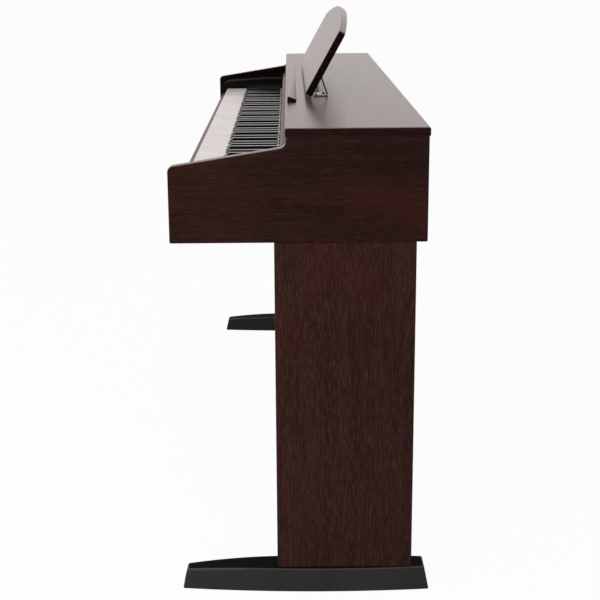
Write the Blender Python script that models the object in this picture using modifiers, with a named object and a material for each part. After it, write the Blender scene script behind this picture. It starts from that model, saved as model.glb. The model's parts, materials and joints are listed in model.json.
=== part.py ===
"""Console digital piano: cabinet, keyboard, sliding key cover, music desk, stand and pedals.

Metres, +Z up. +X runs along the keyboard to the treble end and the player sits at -Y.
"""
import math

import bmesh
import bpy
from mathutils import Matrix

# Driving dimensions
CLEARANCE = 0.0003
KEY_PITCH = 0.0235
KEY_GAP = 0.001
WHITE_COUNT = 52
WHITE_FRONT_LENGTH = 0.051
WHITE_THICKNESS = 0.016
BLACK_LENGTH = 0.095
BLACK_RISE = 0.0114
BLACK_WIDTH = 0.0110
BLACK_SLOPE = 0.010
BLACK_SIDE_GAP = 0.0012
KEY_TOP = 0.7148
KEY_FRONT = -0.1893
KEY_PIVOT_Y = 0.026
KEY_BAR_HALF = 0.006
KEY_ARM = 0.0072
KEY_ARM_GAP = 0.0008
BLACK_BAR_START = 0.009
BLACK_BAR_DEPTH = 0.008
WHITE_EDGE = 0.0007
BLACK_EDGE = 0.0007

CHEEK_THICKNESS = 0.018
CASE_FRONT = -0.2135
CASE_REAR = 0.2029
CASE_BOTTOM = 0.6160
CHEEK_FRONT_TOP = 0.7414
CHEEK_SLOPE = 0.1608
CHEEK_STEP_Y = -0.0238
CHEEK_FRONT_RADIUS = 0.010
CHEEK_STEP_RADIUS = 0.013

LID_OVERHANG = 0.003
LID_FRONT = -0.0265
LID_REAR = 0.2048
LID_TOP = 0.8028
LID_THICKNESS = 0.0152
LID_EDGE = 0.004

BED_THICKNESS = 0.018
SLIP_THICKNESS = 0.012
SLIP_KEY_GAP = 0.0015
SLIP_TOP = 0.7020
REAR_PANEL_THICKNESS = 0.009
REAR_PANEL_INSET = 0.0074

BLOCK_WIDTH = 0.0624
BLOCK_TOP = 0.7410
BLOCK_FRONT_TOP = 0.7335
BLOCK_RISE_END = -0.085
BLOCK_NOSE_RADIUS = 0.020
BLOCK_BODY_REAR = 0.035
RUNNER_HEIGHT = 0.012
RUNNER_REAR = 0.168
NAME_RAIL_DEPTH = 0.015
NAME_RAIL_KEY_GAP = 0.0027
NAME_RAIL_STRIP = 0.0046

COVER_THICKNESS = 0.004
COVER_REAR = 0.160
COVER_SIDE_GAP = 0.0012
COVER_RAIL_FRONT = -0.0357
COVER_RAIL_DEPTH = 0.0157
COVER_RAIL_HEIGHT = 0.0112

FRAME_BASE = 0.003
FRAME_FRONT = -0.1850
FRAME_FRONT_DEPTH = 0.020
FRAME_FRONT_TOP = 0.6870
FRAME_REAR = 0.045
FRAME_FULCRUM_HALF = 0.003

LEG_SETBACK = 0.002
LEG_THICKNESS = 0.024
LEG_FRONT = -0.0450
LEG_REAR = 0.1857
FOOT_FRONT = -0.2085
FOOT_REAR = 0.2150
FOOT_SETBACK = 0.018
FOOT_TOE_HALF = 0.0205
FOOT_MIDDLE_HALF = 0.0338
FOOT_HEEL_HALF = 0.0280
FOOT_HEIGHT = 0.0365
FOOT_TOE_HEIGHT = 0.0300
FOOT_ARCH_Y = -0.060
FOOT_SIDE_LEAN = 0.0105
FOOT_END_LEAN = 0.0070
FOOT_EDGE = 0.003
FOOT_ROWS = 16

BACK_BOARD_THICKNESS = 0.012
BACK_BOARD_REAR = 0.172
BACK_BOARD_BOTTOM = 0.250

PEDAL_BOX_FRONT = 0.055
PEDAL_BOX_REAR = 0.125
PEDAL_BOX_BOTTOM = 0.045
PEDAL_BOX_TOP = 0.165
PEDAL_SPACING = 0.070
PEDAL_TIP = -0.045
PEDAL_PIVOT_Y = 0.100
PEDAL_PIVOT_Z = 0.074
PEDAL_TAIL = 0.010
PEDAL_NECK = 0.020
PEDAL_TOE = 0.032
PEDAL_THICKNESS = 0.008
PEDAL_SIDE_GAP = 0.0015
PEDAL_PIN_RADIUS = 0.0024
PEDAL_PIN_STAND = 0.004
PEDAL_SLOT_ABOVE = 0.0025
PEDAL_SLOT_BELOW = 0.015
ADJUSTER_PAD_RADIUS = 0.014
ADJUSTER_PAD_HEIGHT = 0.008
ADJUSTER_STEM_RADIUS = 0.005
ADJUSTER_ENGAGED = 0.015
ADJUSTER_BORE = 0.020

LEDGE_OVERHANG = 0.025
LEDGE_FRONT = -0.0223
LEDGE_DEPTH = 0.017
LEDGE_FRONT_HEIGHT = 0.0106
LEDGE_REAR_HEIGHT = 0.0040
LEDGE_RADIUS = 0.003

DESK_HALF_LENGTH = 0.345
DESK_TILT = math.radians(61.2)
DESK_FRONT_EDGE_Y = 0.0116
DESK_FRONT_EDGE_Z = 0.8150
DESK_THICKNESS = 0.0136
DESK_SIDE_HEIGHT = 0.1325
DESK_ARCH_RISE = 0.0344
DESK_CORNER_RADIUS = 0.010
DESK_EDGE = 0.0015
HINGE_END_GAP = 0.012
HINGE_BARREL_RADIUS = 0.0020
HINGE_LEAF = 0.0012
HINGE_LEAF_DEPTH = 0.016
PROP_INSET = 0.065
PROP_RADIUS = 0.0014
PROP_ARM = 0.0370
PROP_FOOT_Y = 0.0552
PROP_FOOT_Z = 0.80648
PROP_FOOT_PIN = 0.008
PROP_LUG_GAP = 0.0026
PROP_LUG_WIDTH = 0.009
PROP_LUG_HALF_HEIGHT = 0.004
PROP_LUG_WALL = 0.0012
PROP_PIN_CLEARANCE = 0.0003
PROP_PLATE_WIDTH = 0.055
PROP_PLATE_OVERHANG = 0.009
PROP_PLATE_FRONT = 0.0290
PROP_PLATE_REAR = 0.0565
PROP_PLATE_THICKNESS = 0.0015

SPEAKER_X = 0.500
SPEAKER_Y = 0.118
SPEAKER_RADIUS = 0.050
SPEAKER_HEIGHT = 0.040
SLOT_COUNT = 7
SLOT_PITCH = 0.011
SLOT_WIDTH = 0.005
SLOT_LENGTH = 0.070
BOARD_LENGTH = 0.220
BOARD_DEPTH = 0.090
BOARD_THICKNESS = 0.0016
BOARD_STANDOFF = 0.010
BOARD_Y = 0.115

CONNECTOR_X = -0.300
CONNECTOR_Z = 0.680
CONNECTOR_LENGTH = 0.120
CONNECTOR_HEIGHT = 0.030
CONNECTOR_DEPTH = 0.022
CONNECTOR_FLANGE = 0.006
CONNECTOR_FLANGE_THICKNESS = 0.002
SOCKET_PITCH = 0.027
SOCKET_DEPTH = 0.014
JACK_RADIUS = 0.0033
HEADPHONE_X = -0.560
HEADPHONE_LENGTH = 0.080
HEADPHONE_DEPTH = 0.050
HEADPHONE_FRONT = -0.185
HEADPHONE_HEIGHT = 0.026
HEADPHONE_JACK_PITCH = 0.036

PANEL_DEPTH = 0.015
PANEL_MARGIN = 0.007
PANEL_FRONT = -0.170
PANEL_REAR = -0.075
KNOB_Y = -0.105
KNOB_RADIUS = 0.009
KNOB_HEIGHT = 0.010
BUTTON_Y = -0.145
BUTTON_SIZE = 0.011
BUTTON_STAND = 0.003
BUTTON_BELOW = 0.002
BUTTON_WELL = 0.0045

# Places worked out from the driving dimensions
KEYBOARD_HALF = KEY_PITCH * WHITE_COUNT / 2
KEY_BOTTOM = KEY_TOP - WHITE_THICKNESS
BLACK_FRONT = KEY_FRONT + WHITE_FRONT_LENGTH + BLACK_SIDE_GAP
BLACK_REAR = BLACK_FRONT + BLACK_LENGTH
BLOCK_INNER = KEYBOARD_HALF + CLEARANCE
INSIDE_HALF = BLOCK_INNER + BLOCK_WIDTH
CHEEK_INNER = INSIDE_HALF + CLEARANCE
CHEEK_OUTER = CHEEK_INNER + CHEEK_THICKNESS
LID_HALF_LENGTH = CHEEK_OUTER + LID_OVERHANG
LID_BOTTOM = LID_TOP - LID_THICKNESS
BED_TOP = CASE_BOTTOM + BED_THICKNESS
SLIP_REAR = KEY_FRONT - SLIP_KEY_GAP
SLIP_FRONT = SLIP_REAR - SLIP_THICKNESS
REAR_PANEL_REAR = CASE_REAR - REAR_PANEL_INSET
REAR_PANEL_FRONT = REAR_PANEL_REAR - REAR_PANEL_THICKNESS
NAME_RAIL_FRONT = BLACK_REAR + NAME_RAIL_STRIP
COVER_BOTTOM = BLOCK_TOP + CLEARANCE
COVER_HALF = CHEEK_INNER - COVER_SIDE_GAP
FULCRUM_TOP = KEY_BOTTOM - CLEARANCE
LEG_OUTER = CHEEK_OUTER - LEG_SETBACK
LEG_INNER = LEG_OUTER - LEG_THICKNESS
FOOT_CENTRE = LEG_OUTER - FOOT_SETBACK
FOOT_MIDDLE = (FOOT_FRONT + FOOT_REAR) / 2
FOOT_HALF_LENGTH = (FOOT_REAR - FOOT_FRONT) / 2
LEG_BOTTOM = FOOT_HEIGHT + CLEARANCE
LEG_TOP = CASE_BOTTOM - CLEARANCE
BETWEEN_LEGS = LEG_INNER - CLEARANCE
LID_SEAT = LID_TOP + CLEARANCE
LEDGE_HALF_LENGTH = DESK_HALF_LENGTH + LEDGE_OVERHANG
PROP_X = DESK_HALF_LENGTH - PROP_INSET
PROP_PLATE_OUTER = PROP_X + PROP_PLATE_OVERHANG
PROP_PLATE_INNER = PROP_PLATE_OUTER - PROP_PLATE_WIDTH
HINGE_HALF_LENGTH = PROP_PLATE_INNER - HINGE_END_GAP

FLAT_ANGLE = 0.001
OCTAVE = 7 * KEY_PITCH
LETTERS = ("c", "d", "e", "f", "g", "a", "b")
SINGLE_OCTAVE = 4

parts = bpy.data.collections.new("digital_piano")
cutters = bpy.data.collections.new("cutters")


def clear_scene():
    for item in list(bpy.data.objects):
        bpy.data.objects.remove(item, do_unlink=True)
    bpy.context.scene.collection.children.link(parts)
    bpy.context.scene.collection.children.link(cutters)


def material(name, colour, roughness, metallic=0.0):
    made = bpy.data.materials.new(name)
    made.use_nodes = True
    shader = made.node_tree.nodes["Principled BSDF"]
    shader.inputs["Base Color"].default_value = (*colour, 1.0)
    shader.inputs["Roughness"].default_value = roughness
    shader.inputs["Metallic"].default_value = metallic
    return made


def add_object(name, mesh, look=None, origin=(0.0, 0.0, 0.0)):
    """Link a world-placed mesh so that its object's origin is at the given point."""
    mesh.transform(Matrix.Translation(origin).inverted())
    made = bpy.data.objects.new(name, mesh)
    made.location = origin
    if look is None:
        cutters.objects.link(made)
        made.hide_render = True
        made.display_type = "WIRE"
    else:
        mesh.materials.append(look)
        parts.objects.link(made)
    return made


def mesh_from(form, name):
    form.normal_update()
    bmesh.ops.recalc_face_normals(form, faces=form.faces)
    mesh = bpy.data.meshes.new(name)
    form.to_mesh(mesh)
    form.free()
    return mesh


def add_block(form, low, high):
    size = [top - bottom for bottom, top in zip(low, high)]
    middle = [(top + bottom) / 2 for bottom, top in zip(low, high)]
    place = Matrix.Translation(middle) @ Matrix.Diagonal((*size, 1.0))
    bmesh.ops.create_cube(form, size=1.0, matrix=place)


def box(name, low, high, look=None, origin=(0.0, 0.0, 0.0)):
    form = bmesh.new()
    add_block(form, low, high)
    return add_object(name, mesh_from(form, name), look, origin)


def boxes(name, corners):
    """A cutter of several blocks that stay clear of each other."""
    form = bmesh.new()
    for low, high in corners:
        add_block(form, low, high)
    return add_object(name, mesh_from(form, name))


def cylinder(name, centre, axis, radius, length, look=None, sides=24, origin=(0.0, 0.0, 0.0)):
    turn = {"X": Matrix.Rotation(math.pi / 2, 4, "Y"), "Y": Matrix.Rotation(math.pi / 2, 4, "X"),
            "Z": Matrix.Identity(4)}[axis]
    form = bmesh.new()
    bmesh.ops.create_cone(form, cap_ends=True, segments=sides, radius1=radius, radius2=radius,
                          depth=length, matrix=Matrix.Translation(centre) @ turn)
    return add_object(name, mesh_from(form, name), look, origin)


PLANES = {
    "X": Matrix(((0, 0, 1, 0), (1, 0, 0, 0), (0, 1, 0, 0), (0, 0, 0, 1))),
    "Y": Matrix(((1, 0, 0, 0), (0, 0, -1, 0), (0, 1, 0, 0), (0, 0, 0, 1))),
    "Z": Matrix.Identity(4),
}


def slab_mesh(name, outline, half_thickness, place):
    """A flat outline thickened both ways, as one closed mesh."""
    curve = bpy.data.curves.new(name, "CURVE")
    curve.dimensions = "2D"
    curve.fill_mode = "BOTH"
    curve.extrude = half_thickness
    spline = curve.splines.new("POLY")
    spline.points.add(len(outline) - 1)
    for point, (across, up) in zip(spline.points, outline):
        point.co = (across, up, 0.0, 1.0)
    spline.use_cyclic_u = True
    drawn = bpy.data.objects.new(name + "_curve", curve)
    bpy.context.scene.collection.objects.link(drawn)
    graph = bpy.context.evaluated_depsgraph_get()
    mesh = bpy.data.meshes.new_from_object(drawn.evaluated_get(graph))
    bpy.data.objects.remove(drawn, do_unlink=True)
    form = bmesh.new()
    form.from_mesh(mesh)
    bpy.data.meshes.remove(mesh)
    bmesh.ops.remove_doubles(form, verts=form.verts, dist=0.000001)
    bmesh.ops.dissolve_limit(form, angle_limit=FLAT_ANGLE, verts=form.verts, edges=form.edges)
    form.transform(place)
    return mesh_from(form, name)


def prism(name, outline, plane, low, high, look=None, origin=(0.0, 0.0, 0.0)):
    """Extrude an outline in a plane square to an axis, from low to high along that axis.

    Plane X takes (y, z) points, plane Y takes (x, z) and plane Z takes (x, y).
    """
    shift = {"X": ((low + high) / 2, 0, 0), "Y": (0, (low + high) / 2, 0), "Z": (0, 0, (low + high) / 2)}
    place = Matrix.Translation(shift[plane]) @ PLANES[plane]
    mesh = slab_mesh(name, outline, abs(high - low) / 2, place)
    return add_object(name, mesh, look, origin)


def fillet(before, corner, after, radius, steps=5):
    """Points of an arc that rounds a corner of an outline."""
    back = ((before[0] - corner[0]), (before[1] - corner[1]))
    ahead = ((after[0] - corner[0]), (after[1] - corner[1]))
    back_length = math.hypot(*back)
    ahead_length = math.hypot(*ahead)
    back = (back[0] / back_length, back[1] / back_length)
    ahead = (ahead[0] / ahead_length, ahead[1] / ahead_length)
    half = math.acos(max(-1.0, min(1.0, back[0] * ahead[0] + back[1] * ahead[1]))) / 2
    reach = radius / math.tan(half)
    middle_way = (back[0] + ahead[0], back[1] + ahead[1])
    scale = radius / math.sin(half) / math.hypot(*middle_way)
    centre = (corner[0] + middle_way[0] * scale, corner[1] + middle_way[1] * scale)
    first = math.atan2(corner[1] + back[1] * reach - centre[1], corner[0] + back[0] * reach - centre[0])
    last = math.atan2(corner[1] + ahead[1] * reach - centre[1], corner[0] + ahead[0] * reach - centre[0])
    sweep = (last - first + math.pi) % (2 * math.pi) - math.pi
    angles = [first + sweep * step / steps for step in range(steps + 1)]
    return [(centre[0] + radius * math.cos(angle), centre[1] + radius * math.sin(angle)) for angle in angles]


def rounded(corners, steps=5):
    """An outline from (x, y, radius) corners; a radius of 0 keeps the corner sharp."""
    outline = []
    for index, (across, up, radius) in enumerate(corners):
        if radius == 0:
            outline.append((across, up))
            continue
        before = corners[index - 1][:2]
        after = corners[(index + 1) % len(corners)][:2]
        outline.extend(fillet(before, (across, up), after, radius, steps))
    return outline


def boolean(target, tool, operation):
    step = target.modifiers.new(operation.lower() + "_" + tool.name, "BOOLEAN")
    step.operation = operation
    step.solver = "EXACT"
    step.object = tool


def bevel(target, width, segments=2, angle=30.0):
    step = target.modifiers.new("rounded_edges", "BEVEL")
    step.width = width
    step.segments = segments
    step.limit_method = "ANGLE"
    step.angle_limit = math.radians(angle)


def mirrored_ends(low, high, side):
    """X limits of a piece that stands at the bass (-1) or treble (+1) end."""
    return (low, high) if side > 0 else (-high, -low)


ENDS = (("bass", -1), ("treble", 1))


def cabinet(looks):
    lid = box("lid", (-LID_HALF_LENGTH, LID_FRONT, LID_BOTTOM), (LID_HALF_LENGTH, LID_REAR, LID_TOP),
              looks["wood"])
    bevel(lid, LID_EDGE, 3)
    slope_end = CHEEK_FRONT_TOP + (CHEEK_STEP_Y - CASE_FRONT) * CHEEK_SLOPE
    cheek_top = LID_BOTTOM - CLEARANCE
    cheek = rounded([
        (CASE_FRONT, CASE_BOTTOM, 0), (CASE_REAR, CASE_BOTTOM, 0), (CASE_REAR, cheek_top, 0),
        (CHEEK_STEP_Y, cheek_top, 0), (CHEEK_STEP_Y, slope_end, CHEEK_STEP_RADIUS),
        (CASE_FRONT, CHEEK_FRONT_TOP, CHEEK_FRONT_RADIUS)])
    for end, side in ENDS:
        low, high = mirrored_ends(CHEEK_INNER, CHEEK_OUTER, side)
        bevel(prism("cheek_" + end, cheek, "X", low, high, looks["wood"]), 0.0010, 1, 60)
    bed = box("key_bed", (-INSIDE_HALF, SLIP_REAR + CLEARANCE, CASE_BOTTOM),
              (INSIDE_HALF, REAR_PANEL_REAR, BED_TOP), looks["wood"])
    boolean(bed, boxes("speaker_slots", list(speaker_slots())), "DIFFERENCE")
    slip = box("key_slip", (-INSIDE_HALF, SLIP_FRONT, CASE_BOTTOM), (INSIDE_HALF, SLIP_REAR, SLIP_TOP),
               looks["wood"])
    bevel(slip, 0.002, 2)
    rear = box("rear_panel", (-INSIDE_HALF, REAR_PANEL_FRONT, BED_TOP + CLEARANCE),
               (INSIDE_HALF, REAR_PANEL_REAR, LID_BOTTOM - CLEARANCE), looks["dark_wood"])
    half = CONNECTOR_LENGTH / 2 + CLEARANCE
    window = box("connector_window",
                 (CONNECTOR_X - half, REAR_PANEL_FRONT - 0.01, CONNECTOR_Z - CONNECTOR_HEIGHT / 2 - CLEARANCE),
                 (CONNECTOR_X + half, REAR_PANEL_REAR + 0.01, CONNECTOR_Z + CONNECTOR_HEIGHT / 2 + CLEARANCE))
    boolean(rear, window, "DIFFERENCE")


def speaker_slots():
    for side in (-1, 1):
        for slot in range(SLOT_COUNT):
            across = side * SPEAKER_X + (slot - (SLOT_COUNT - 1) / 2) * SLOT_PITCH
            yield ((across - SLOT_WIDTH / 2, SPEAKER_Y - SLOT_LENGTH / 2, CASE_BOTTOM - 0.01),
                   (across + SLOT_WIDTH / 2, SPEAKER_Y + SLOT_LENGTH / 2, BED_TOP + 0.01))


def end_blocks(looks):
    nose = SLIP_FRONT + CLEARANCE
    outline = rounded([
        (SLIP_REAR + CLEARANCE, BED_TOP + CLEARANCE, 0),
        (BLOCK_BODY_REAR, BED_TOP + CLEARANCE, 0), (BLOCK_BODY_REAR, BLOCK_TOP - RUNNER_HEIGHT, 0),
        (RUNNER_REAR, BLOCK_TOP - RUNNER_HEIGHT, 0), (RUNNER_REAR, BLOCK_TOP, 0),
        (BLOCK_RISE_END, BLOCK_TOP, 0), (nose, BLOCK_FRONT_TOP, BLOCK_NOSE_RADIUS),
        (nose, SLIP_TOP + CLEARANCE, 0),
        (SLIP_REAR + CLEARANCE, SLIP_TOP + CLEARANCE, 0)])
    for end, side in ENDS:
        low, high = mirrored_ends(BLOCK_INNER, INSIDE_HALF, side)
        block = prism("key_block_" + end, outline, "X", low, high, looks["black_plastic"])
        if side > 0:
            boolean(block, control_pocket(), "DIFFERENCE")
            boolean(block, button_well(), "DIFFERENCE")


def panel_middle():
    return (BLOCK_INNER + INSIDE_HALF) / 2


def control_pocket():
    return box("control_pocket",
               (BLOCK_INNER + PANEL_MARGIN, PANEL_FRONT, BLOCK_TOP - PANEL_DEPTH),
               (INSIDE_HALF - PANEL_MARGIN, PANEL_REAR, BLOCK_TOP + 0.01))


def button_well():
    half = BUTTON_SIZE / 2 + CLEARANCE
    floor = BLOCK_TOP - PANEL_DEPTH
    return box("button_well", (panel_middle() - half, BUTTON_Y - half, floor - BUTTON_WELL),
               (panel_middle() + half, BUTTON_Y + half, floor + 0.005))


def controls(looks):
    floor = BLOCK_TOP - PANEL_DEPTH
    centre = (panel_middle(), KNOB_Y, floor + CLEARANCE + KNOB_HEIGHT / 2)
    knob = cylinder("volume_knob", centre, "Z", KNOB_RADIUS, KNOB_HEIGHT, looks["black_plastic"],
                    24, (panel_middle(), KNOB_Y, floor))
    bevel(knob, 0.001, 1)
    half = BUTTON_SIZE / 2
    button = box("power_button", (panel_middle() - half, BUTTON_Y - half, floor - BUTTON_BELOW),
                 (panel_middle() + half, BUTTON_Y + half, floor + BUTTON_STAND), looks["grey_plastic"],
                 (panel_middle(), BUTTON_Y, floor))
    bevel(button, 0.0008, 1)


def name_rail(looks):
    box("name_rail", (-KEYBOARD_HALF, NAME_RAIL_FRONT, KEY_TOP + NAME_RAIL_KEY_GAP),
        (KEYBOARD_HALF, NAME_RAIL_FRONT + NAME_RAIL_DEPTH, BLOCK_TOP), looks["black_plastic"])


def key_cover(looks):
    origin = (0.0, COVER_RAIL_FRONT, COVER_BOTTOM)
    joint = COVER_RAIL_FRONT + COVER_RAIL_DEPTH
    rail = box("cover_rail", (-COVER_HALF, COVER_RAIL_FRONT, COVER_BOTTOM),
               (COVER_HALF, joint, COVER_BOTTOM + COVER_RAIL_HEIGHT), looks["wood"], origin)
    bevel(rail, 0.003, 2)
    box("key_cover", (-COVER_HALF, joint + CLEARANCE, COVER_BOTTOM),
        (COVER_HALF, COVER_REAR, COVER_BOTTOM + COVER_THICKNESS), looks["dark_wood"], origin)


def key_frame(looks):
    base = BED_TOP + CLEARANCE
    half = KEYBOARD_HALF - CLEARANCE
    outline = [
        (FRAME_FRONT, base), (FRAME_REAR, base), (FRAME_REAR, base + FRAME_BASE),
        (KEY_PIVOT_Y + FRAME_FULCRUM_HALF, base + FRAME_BASE),
        (KEY_PIVOT_Y + FRAME_FULCRUM_HALF, FULCRUM_TOP), (KEY_PIVOT_Y - FRAME_FULCRUM_HALF, FULCRUM_TOP),
        (KEY_PIVOT_Y - FRAME_FULCRUM_HALF, base + FRAME_BASE),
        (FRAME_FRONT + FRAME_FRONT_DEPTH, base + FRAME_BASE),
        (FRAME_FRONT + FRAME_FRONT_DEPTH, FRAME_FRONT_TOP), (FRAME_FRONT, FRAME_FRONT_TOP)]
    prism("key_frame", outline, "X", -half, half, looks["grey_plastic"])


def black_centre(octave_left, boundary):
    """Centre of the black key over a white boundary; boundaries 1, 2, 4, 5, 6 of an octave."""
    body = BLACK_WIDTH + 2 * BLACK_SIDE_GAP
    first, whites, blacks = (0, 3, 2) if boundary < 3 else (3, 4, 3)
    tail = (whites * KEY_PITCH - blacks * body) / whites
    index = boundary - first
    return octave_left + first * KEY_PITCH + index * tail + (index - 0.5) * body


BLACK_BOUNDARIES = (1, 2, 4, 5, 6)
LOWEST_WHITE = (0, 5)
HIGHEST_WHITE = (8, 0)


def octave_left(octave):
    """Left edge of the C of an octave. A0 and B0 are the two whites before C1."""
    return -KEYBOARD_HALF + 2 * KEY_PITCH + (octave - 1) * OCTAVE


def slot_between(octave, boundary):
    """X limits of the space that a black key takes between two white tails."""
    centre = black_centre(octave_left(octave), boundary)
    half = BLACK_WIDTH / 2 + BLACK_SIDE_GAP
    return centre - half, centre + half


def white_edges(octave, index):
    """X limits of the head of one white key."""
    left = octave_left(octave) + index * KEY_PITCH
    return left + KEY_GAP / 2, left + KEY_PITCH - KEY_GAP / 2


def black_sides(keys):
    """The black keys that stand at or between the given white keys, lowest first."""
    sides = set()
    for key in keys:
        octave, index = key
        if index in BLACK_BOUNDARIES and key != LOWEST_WHITE:
            sides.add((octave, index))
        if index + 1 in BLACK_BOUNDARIES and key != HIGHEST_WHITE:
            sides.add((octave, index + 1))
    return sorted(sides)


def white_keys(name, keys, looks):
    """One white key, or a run of them on one bar, pivoting at the fulcrum."""
    single = len(keys) == 1
    rear = KEY_PIVOT_Y + KEY_BAR_HALF
    left = white_edges(*keys[0])[0]
    right = white_edges(*keys[-1])[1]
    origin = ((left + right) / 2, KEY_PIVOT_Y, FULCRUM_TOP)
    key = box(name, (left, KEY_FRONT, KEY_BOTTOM), (right, rear, KEY_TOP), looks["ivory"], origin)
    cut_end = rear + 0.01 if single else KEY_PIVOT_Y - KEY_BAR_HALF
    low, high = KEY_BOTTOM - 0.01, KEY_TOP + 0.01
    splits = [(white_edges(*here)[1], white_edges(*after)[0]) for here, after in zip(keys, keys[1:])]
    if splits:
        between = boxes(name + "_splits", [((west, KEY_FRONT - 0.01, low), (east, cut_end, high))
                                           for west, east in splits])
        boolean(key, between, "DIFFERENCE")
    slots = [slot_between(*place) for place in black_sides(keys)]
    beside = boxes(name + "_slots", [((west, KEY_FRONT + WHITE_FRONT_LENGTH, low), (east, cut_end, high))
                                     for west, east in slots])
    boolean(key, beside, "DIFFERENCE")
    if not single:
        roof = KEY_BOTTOM + KEY_ARM + KEY_ARM_GAP
        arms = boxes(name + "_arms", [((west, cut_end - 0.002, low), (east, rear + 0.01, roof))
                                      for west, east in slots])
        boolean(key, arms, "DIFFERENCE")
    bevel(key, WHITE_EDGE, 1, 60)


def black_keys(name, places, looks):
    """One black key, or a run of them on one bar behind the white keys, pivoting at the fulcrum."""
    bar = KEY_PIVOT_Y + BLACK_BAR_START
    rear = bar + BLACK_BAR_DEPTH
    half = BLACK_WIDTH / 2
    centres = [black_centre(octave_left(octave), boundary) for octave, boundary in places]
    top = KEY_TOP + BLACK_RISE
    arm_top = KEY_BOTTOM + KEY_ARM
    profile = rounded([
        (BLACK_FRONT, KEY_BOTTOM, 0), (rear, KEY_BOTTOM, 0), (rear, arm_top, 0), (BLACK_REAR, arm_top, 0),
        (BLACK_REAR, top, 0), (BLACK_FRONT + BLACK_SLOPE, top, 0.003), (BLACK_FRONT, KEY_TOP, 0)], 3)
    left = centres[0] - half
    right = centres[-1] + half
    origin = ((left + right) / 2, KEY_PIVOT_Y, FULCRUM_TOP)
    key = prism(name, profile, "X", left, right, looks["ebony"], origin)
    if len(centres) > 1:
        between = boxes(name + "_gaps", [
            ((here + half, BLACK_FRONT - 0.01, KEY_BOTTOM - 0.01), (after - half, bar, top + 0.01))
            for here, after in zip(centres, centres[1:])])
        boolean(key, between, "DIFFERENCE")
    bevel(key, BLACK_EDGE, 1, 60)


def keyboard(looks):
    """One octave of separate keys; the other keys in runs that share a bar."""
    low_whites = [(0, 5), (0, 6)] + [(1, index) for index in range(7)]
    low_blacks = [(0, 6)] + [(1, boundary) for boundary in BLACK_BOUNDARIES]
    top_whites = [(7, index) for index in range(7)] + [(8, 0)]
    white_keys("white_keys_1", low_whites, looks)
    black_keys("black_keys_1", low_blacks, looks)
    for octave in (2, 3, 5, 6):
        white_keys("white_keys_%d" % octave, [(octave, index) for index in range(7)], looks)
        black_keys("black_keys_%d" % octave, [(octave, boundary) for boundary in BLACK_BOUNDARIES], looks)
    white_keys("white_keys_7", top_whites, looks)
    black_keys("black_keys_7", [(7, boundary) for boundary in BLACK_BOUNDARIES], looks)
    for index, letter in enumerate(LETTERS):
        white_keys("key_%s%d" % (letter, SINGLE_OCTAVE), [(SINGLE_OCTAVE, index)], looks)
    for boundary in BLACK_BOUNDARIES:
        name = "key_%s_sharp%d" % (LETTERS[boundary - 1], SINGLE_OCTAVE)
        black_keys(name, [(SINGLE_OCTAVE, boundary)], looks)


def stand(looks):
    board = (LEG_FRONT, LEG_REAR, LEG_BOTTOM, LEG_TOP)
    for end, side in ENDS:
        low, high = mirrored_ends(LEG_INNER, LEG_OUTER, side)
        bevel(box("leg_" + end, (low, board[0], board[2]), (high, board[1], board[3]), looks["wood"]), 0.0010, 1)
        foot("foot_" + end, side, looks["black_plastic"])
    back = (BACK_BOARD_REAR - BACK_BOARD_THICKNESS, BACK_BOARD_REAR)
    box("back_board", (-BETWEEN_LEGS, back[0], BACK_BOARD_BOTTOM), (BETWEEN_LEGS, back[1], LEG_TOP),
        looks["dark_wood"])


def foot(name, side, look):
    """A moulded foot, bowed on both sides, with walls that lean in and a top that falls to the toe."""
    form = bmesh.new()
    add_block(form, (-1.0, FOOT_FRONT, 0.0), (1.0, FOOT_REAR, 1.0))
    for row in range(1, FOOT_ROWS):
        along = FOOT_FRONT + (FOOT_REAR - FOOT_FRONT) * row / FOOT_ROWS
        everything = form.verts[:] + form.edges[:] + form.faces[:]
        bmesh.ops.bisect_plane(form, geom=everything, plane_co=(0, along, 0), plane_no=(0, 1, 0))
    for vert in form.verts:
        half = foot_half_width(vert.co.y)
        if vert.co.z > 0.5:
            half -= FOOT_SIDE_LEAN
            vert.co.y = FOOT_MIDDLE + (vert.co.y - FOOT_MIDDLE) * (1 - FOOT_END_LEAN / FOOT_HALF_LENGTH)
            vert.co.z = foot_height(vert.co.y)
        vert.co.x = side * FOOT_CENTRE + half * vert.co.x
    form.normal_update()
    rim = [edge for edge in form.edges
           if edge.calc_face_angle() > math.radians(30) and max(vert.co.z for vert in edge.verts) > 0.01]
    bmesh.ops.bevel(form, geom=rim, offset=FOOT_EDGE, offset_type="OFFSET", segments=2, profile=0.5,
                    affect="EDGES", material=-1, clamp_overlap=True)
    return add_object(name, mesh_from(form, name), look)


def foot_half_width(along):
    """Half of a foot's width at the floor, on a parabola through its toe, middle and heel."""
    share = (along - FOOT_MIDDLE) / FOOT_HALF_LENGTH
    slope = (FOOT_HEEL_HALF - FOOT_TOE_HALF) / 2
    bow = (FOOT_HEEL_HALF + FOOT_TOE_HALF) / 2 - FOOT_MIDDLE_HALF
    return FOOT_MIDDLE_HALF + slope * share + bow * share ** 2


def foot_height(along):
    """The height of a foot's top: level under the leg, falling in an arc to the toe."""
    share = max(0.0, (FOOT_ARCH_Y - along) / (FOOT_ARCH_Y - FOOT_FRONT))
    return FOOT_HEIGHT - (FOOT_HEIGHT - FOOT_TOE_HEIGHT) * share ** 2


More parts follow.
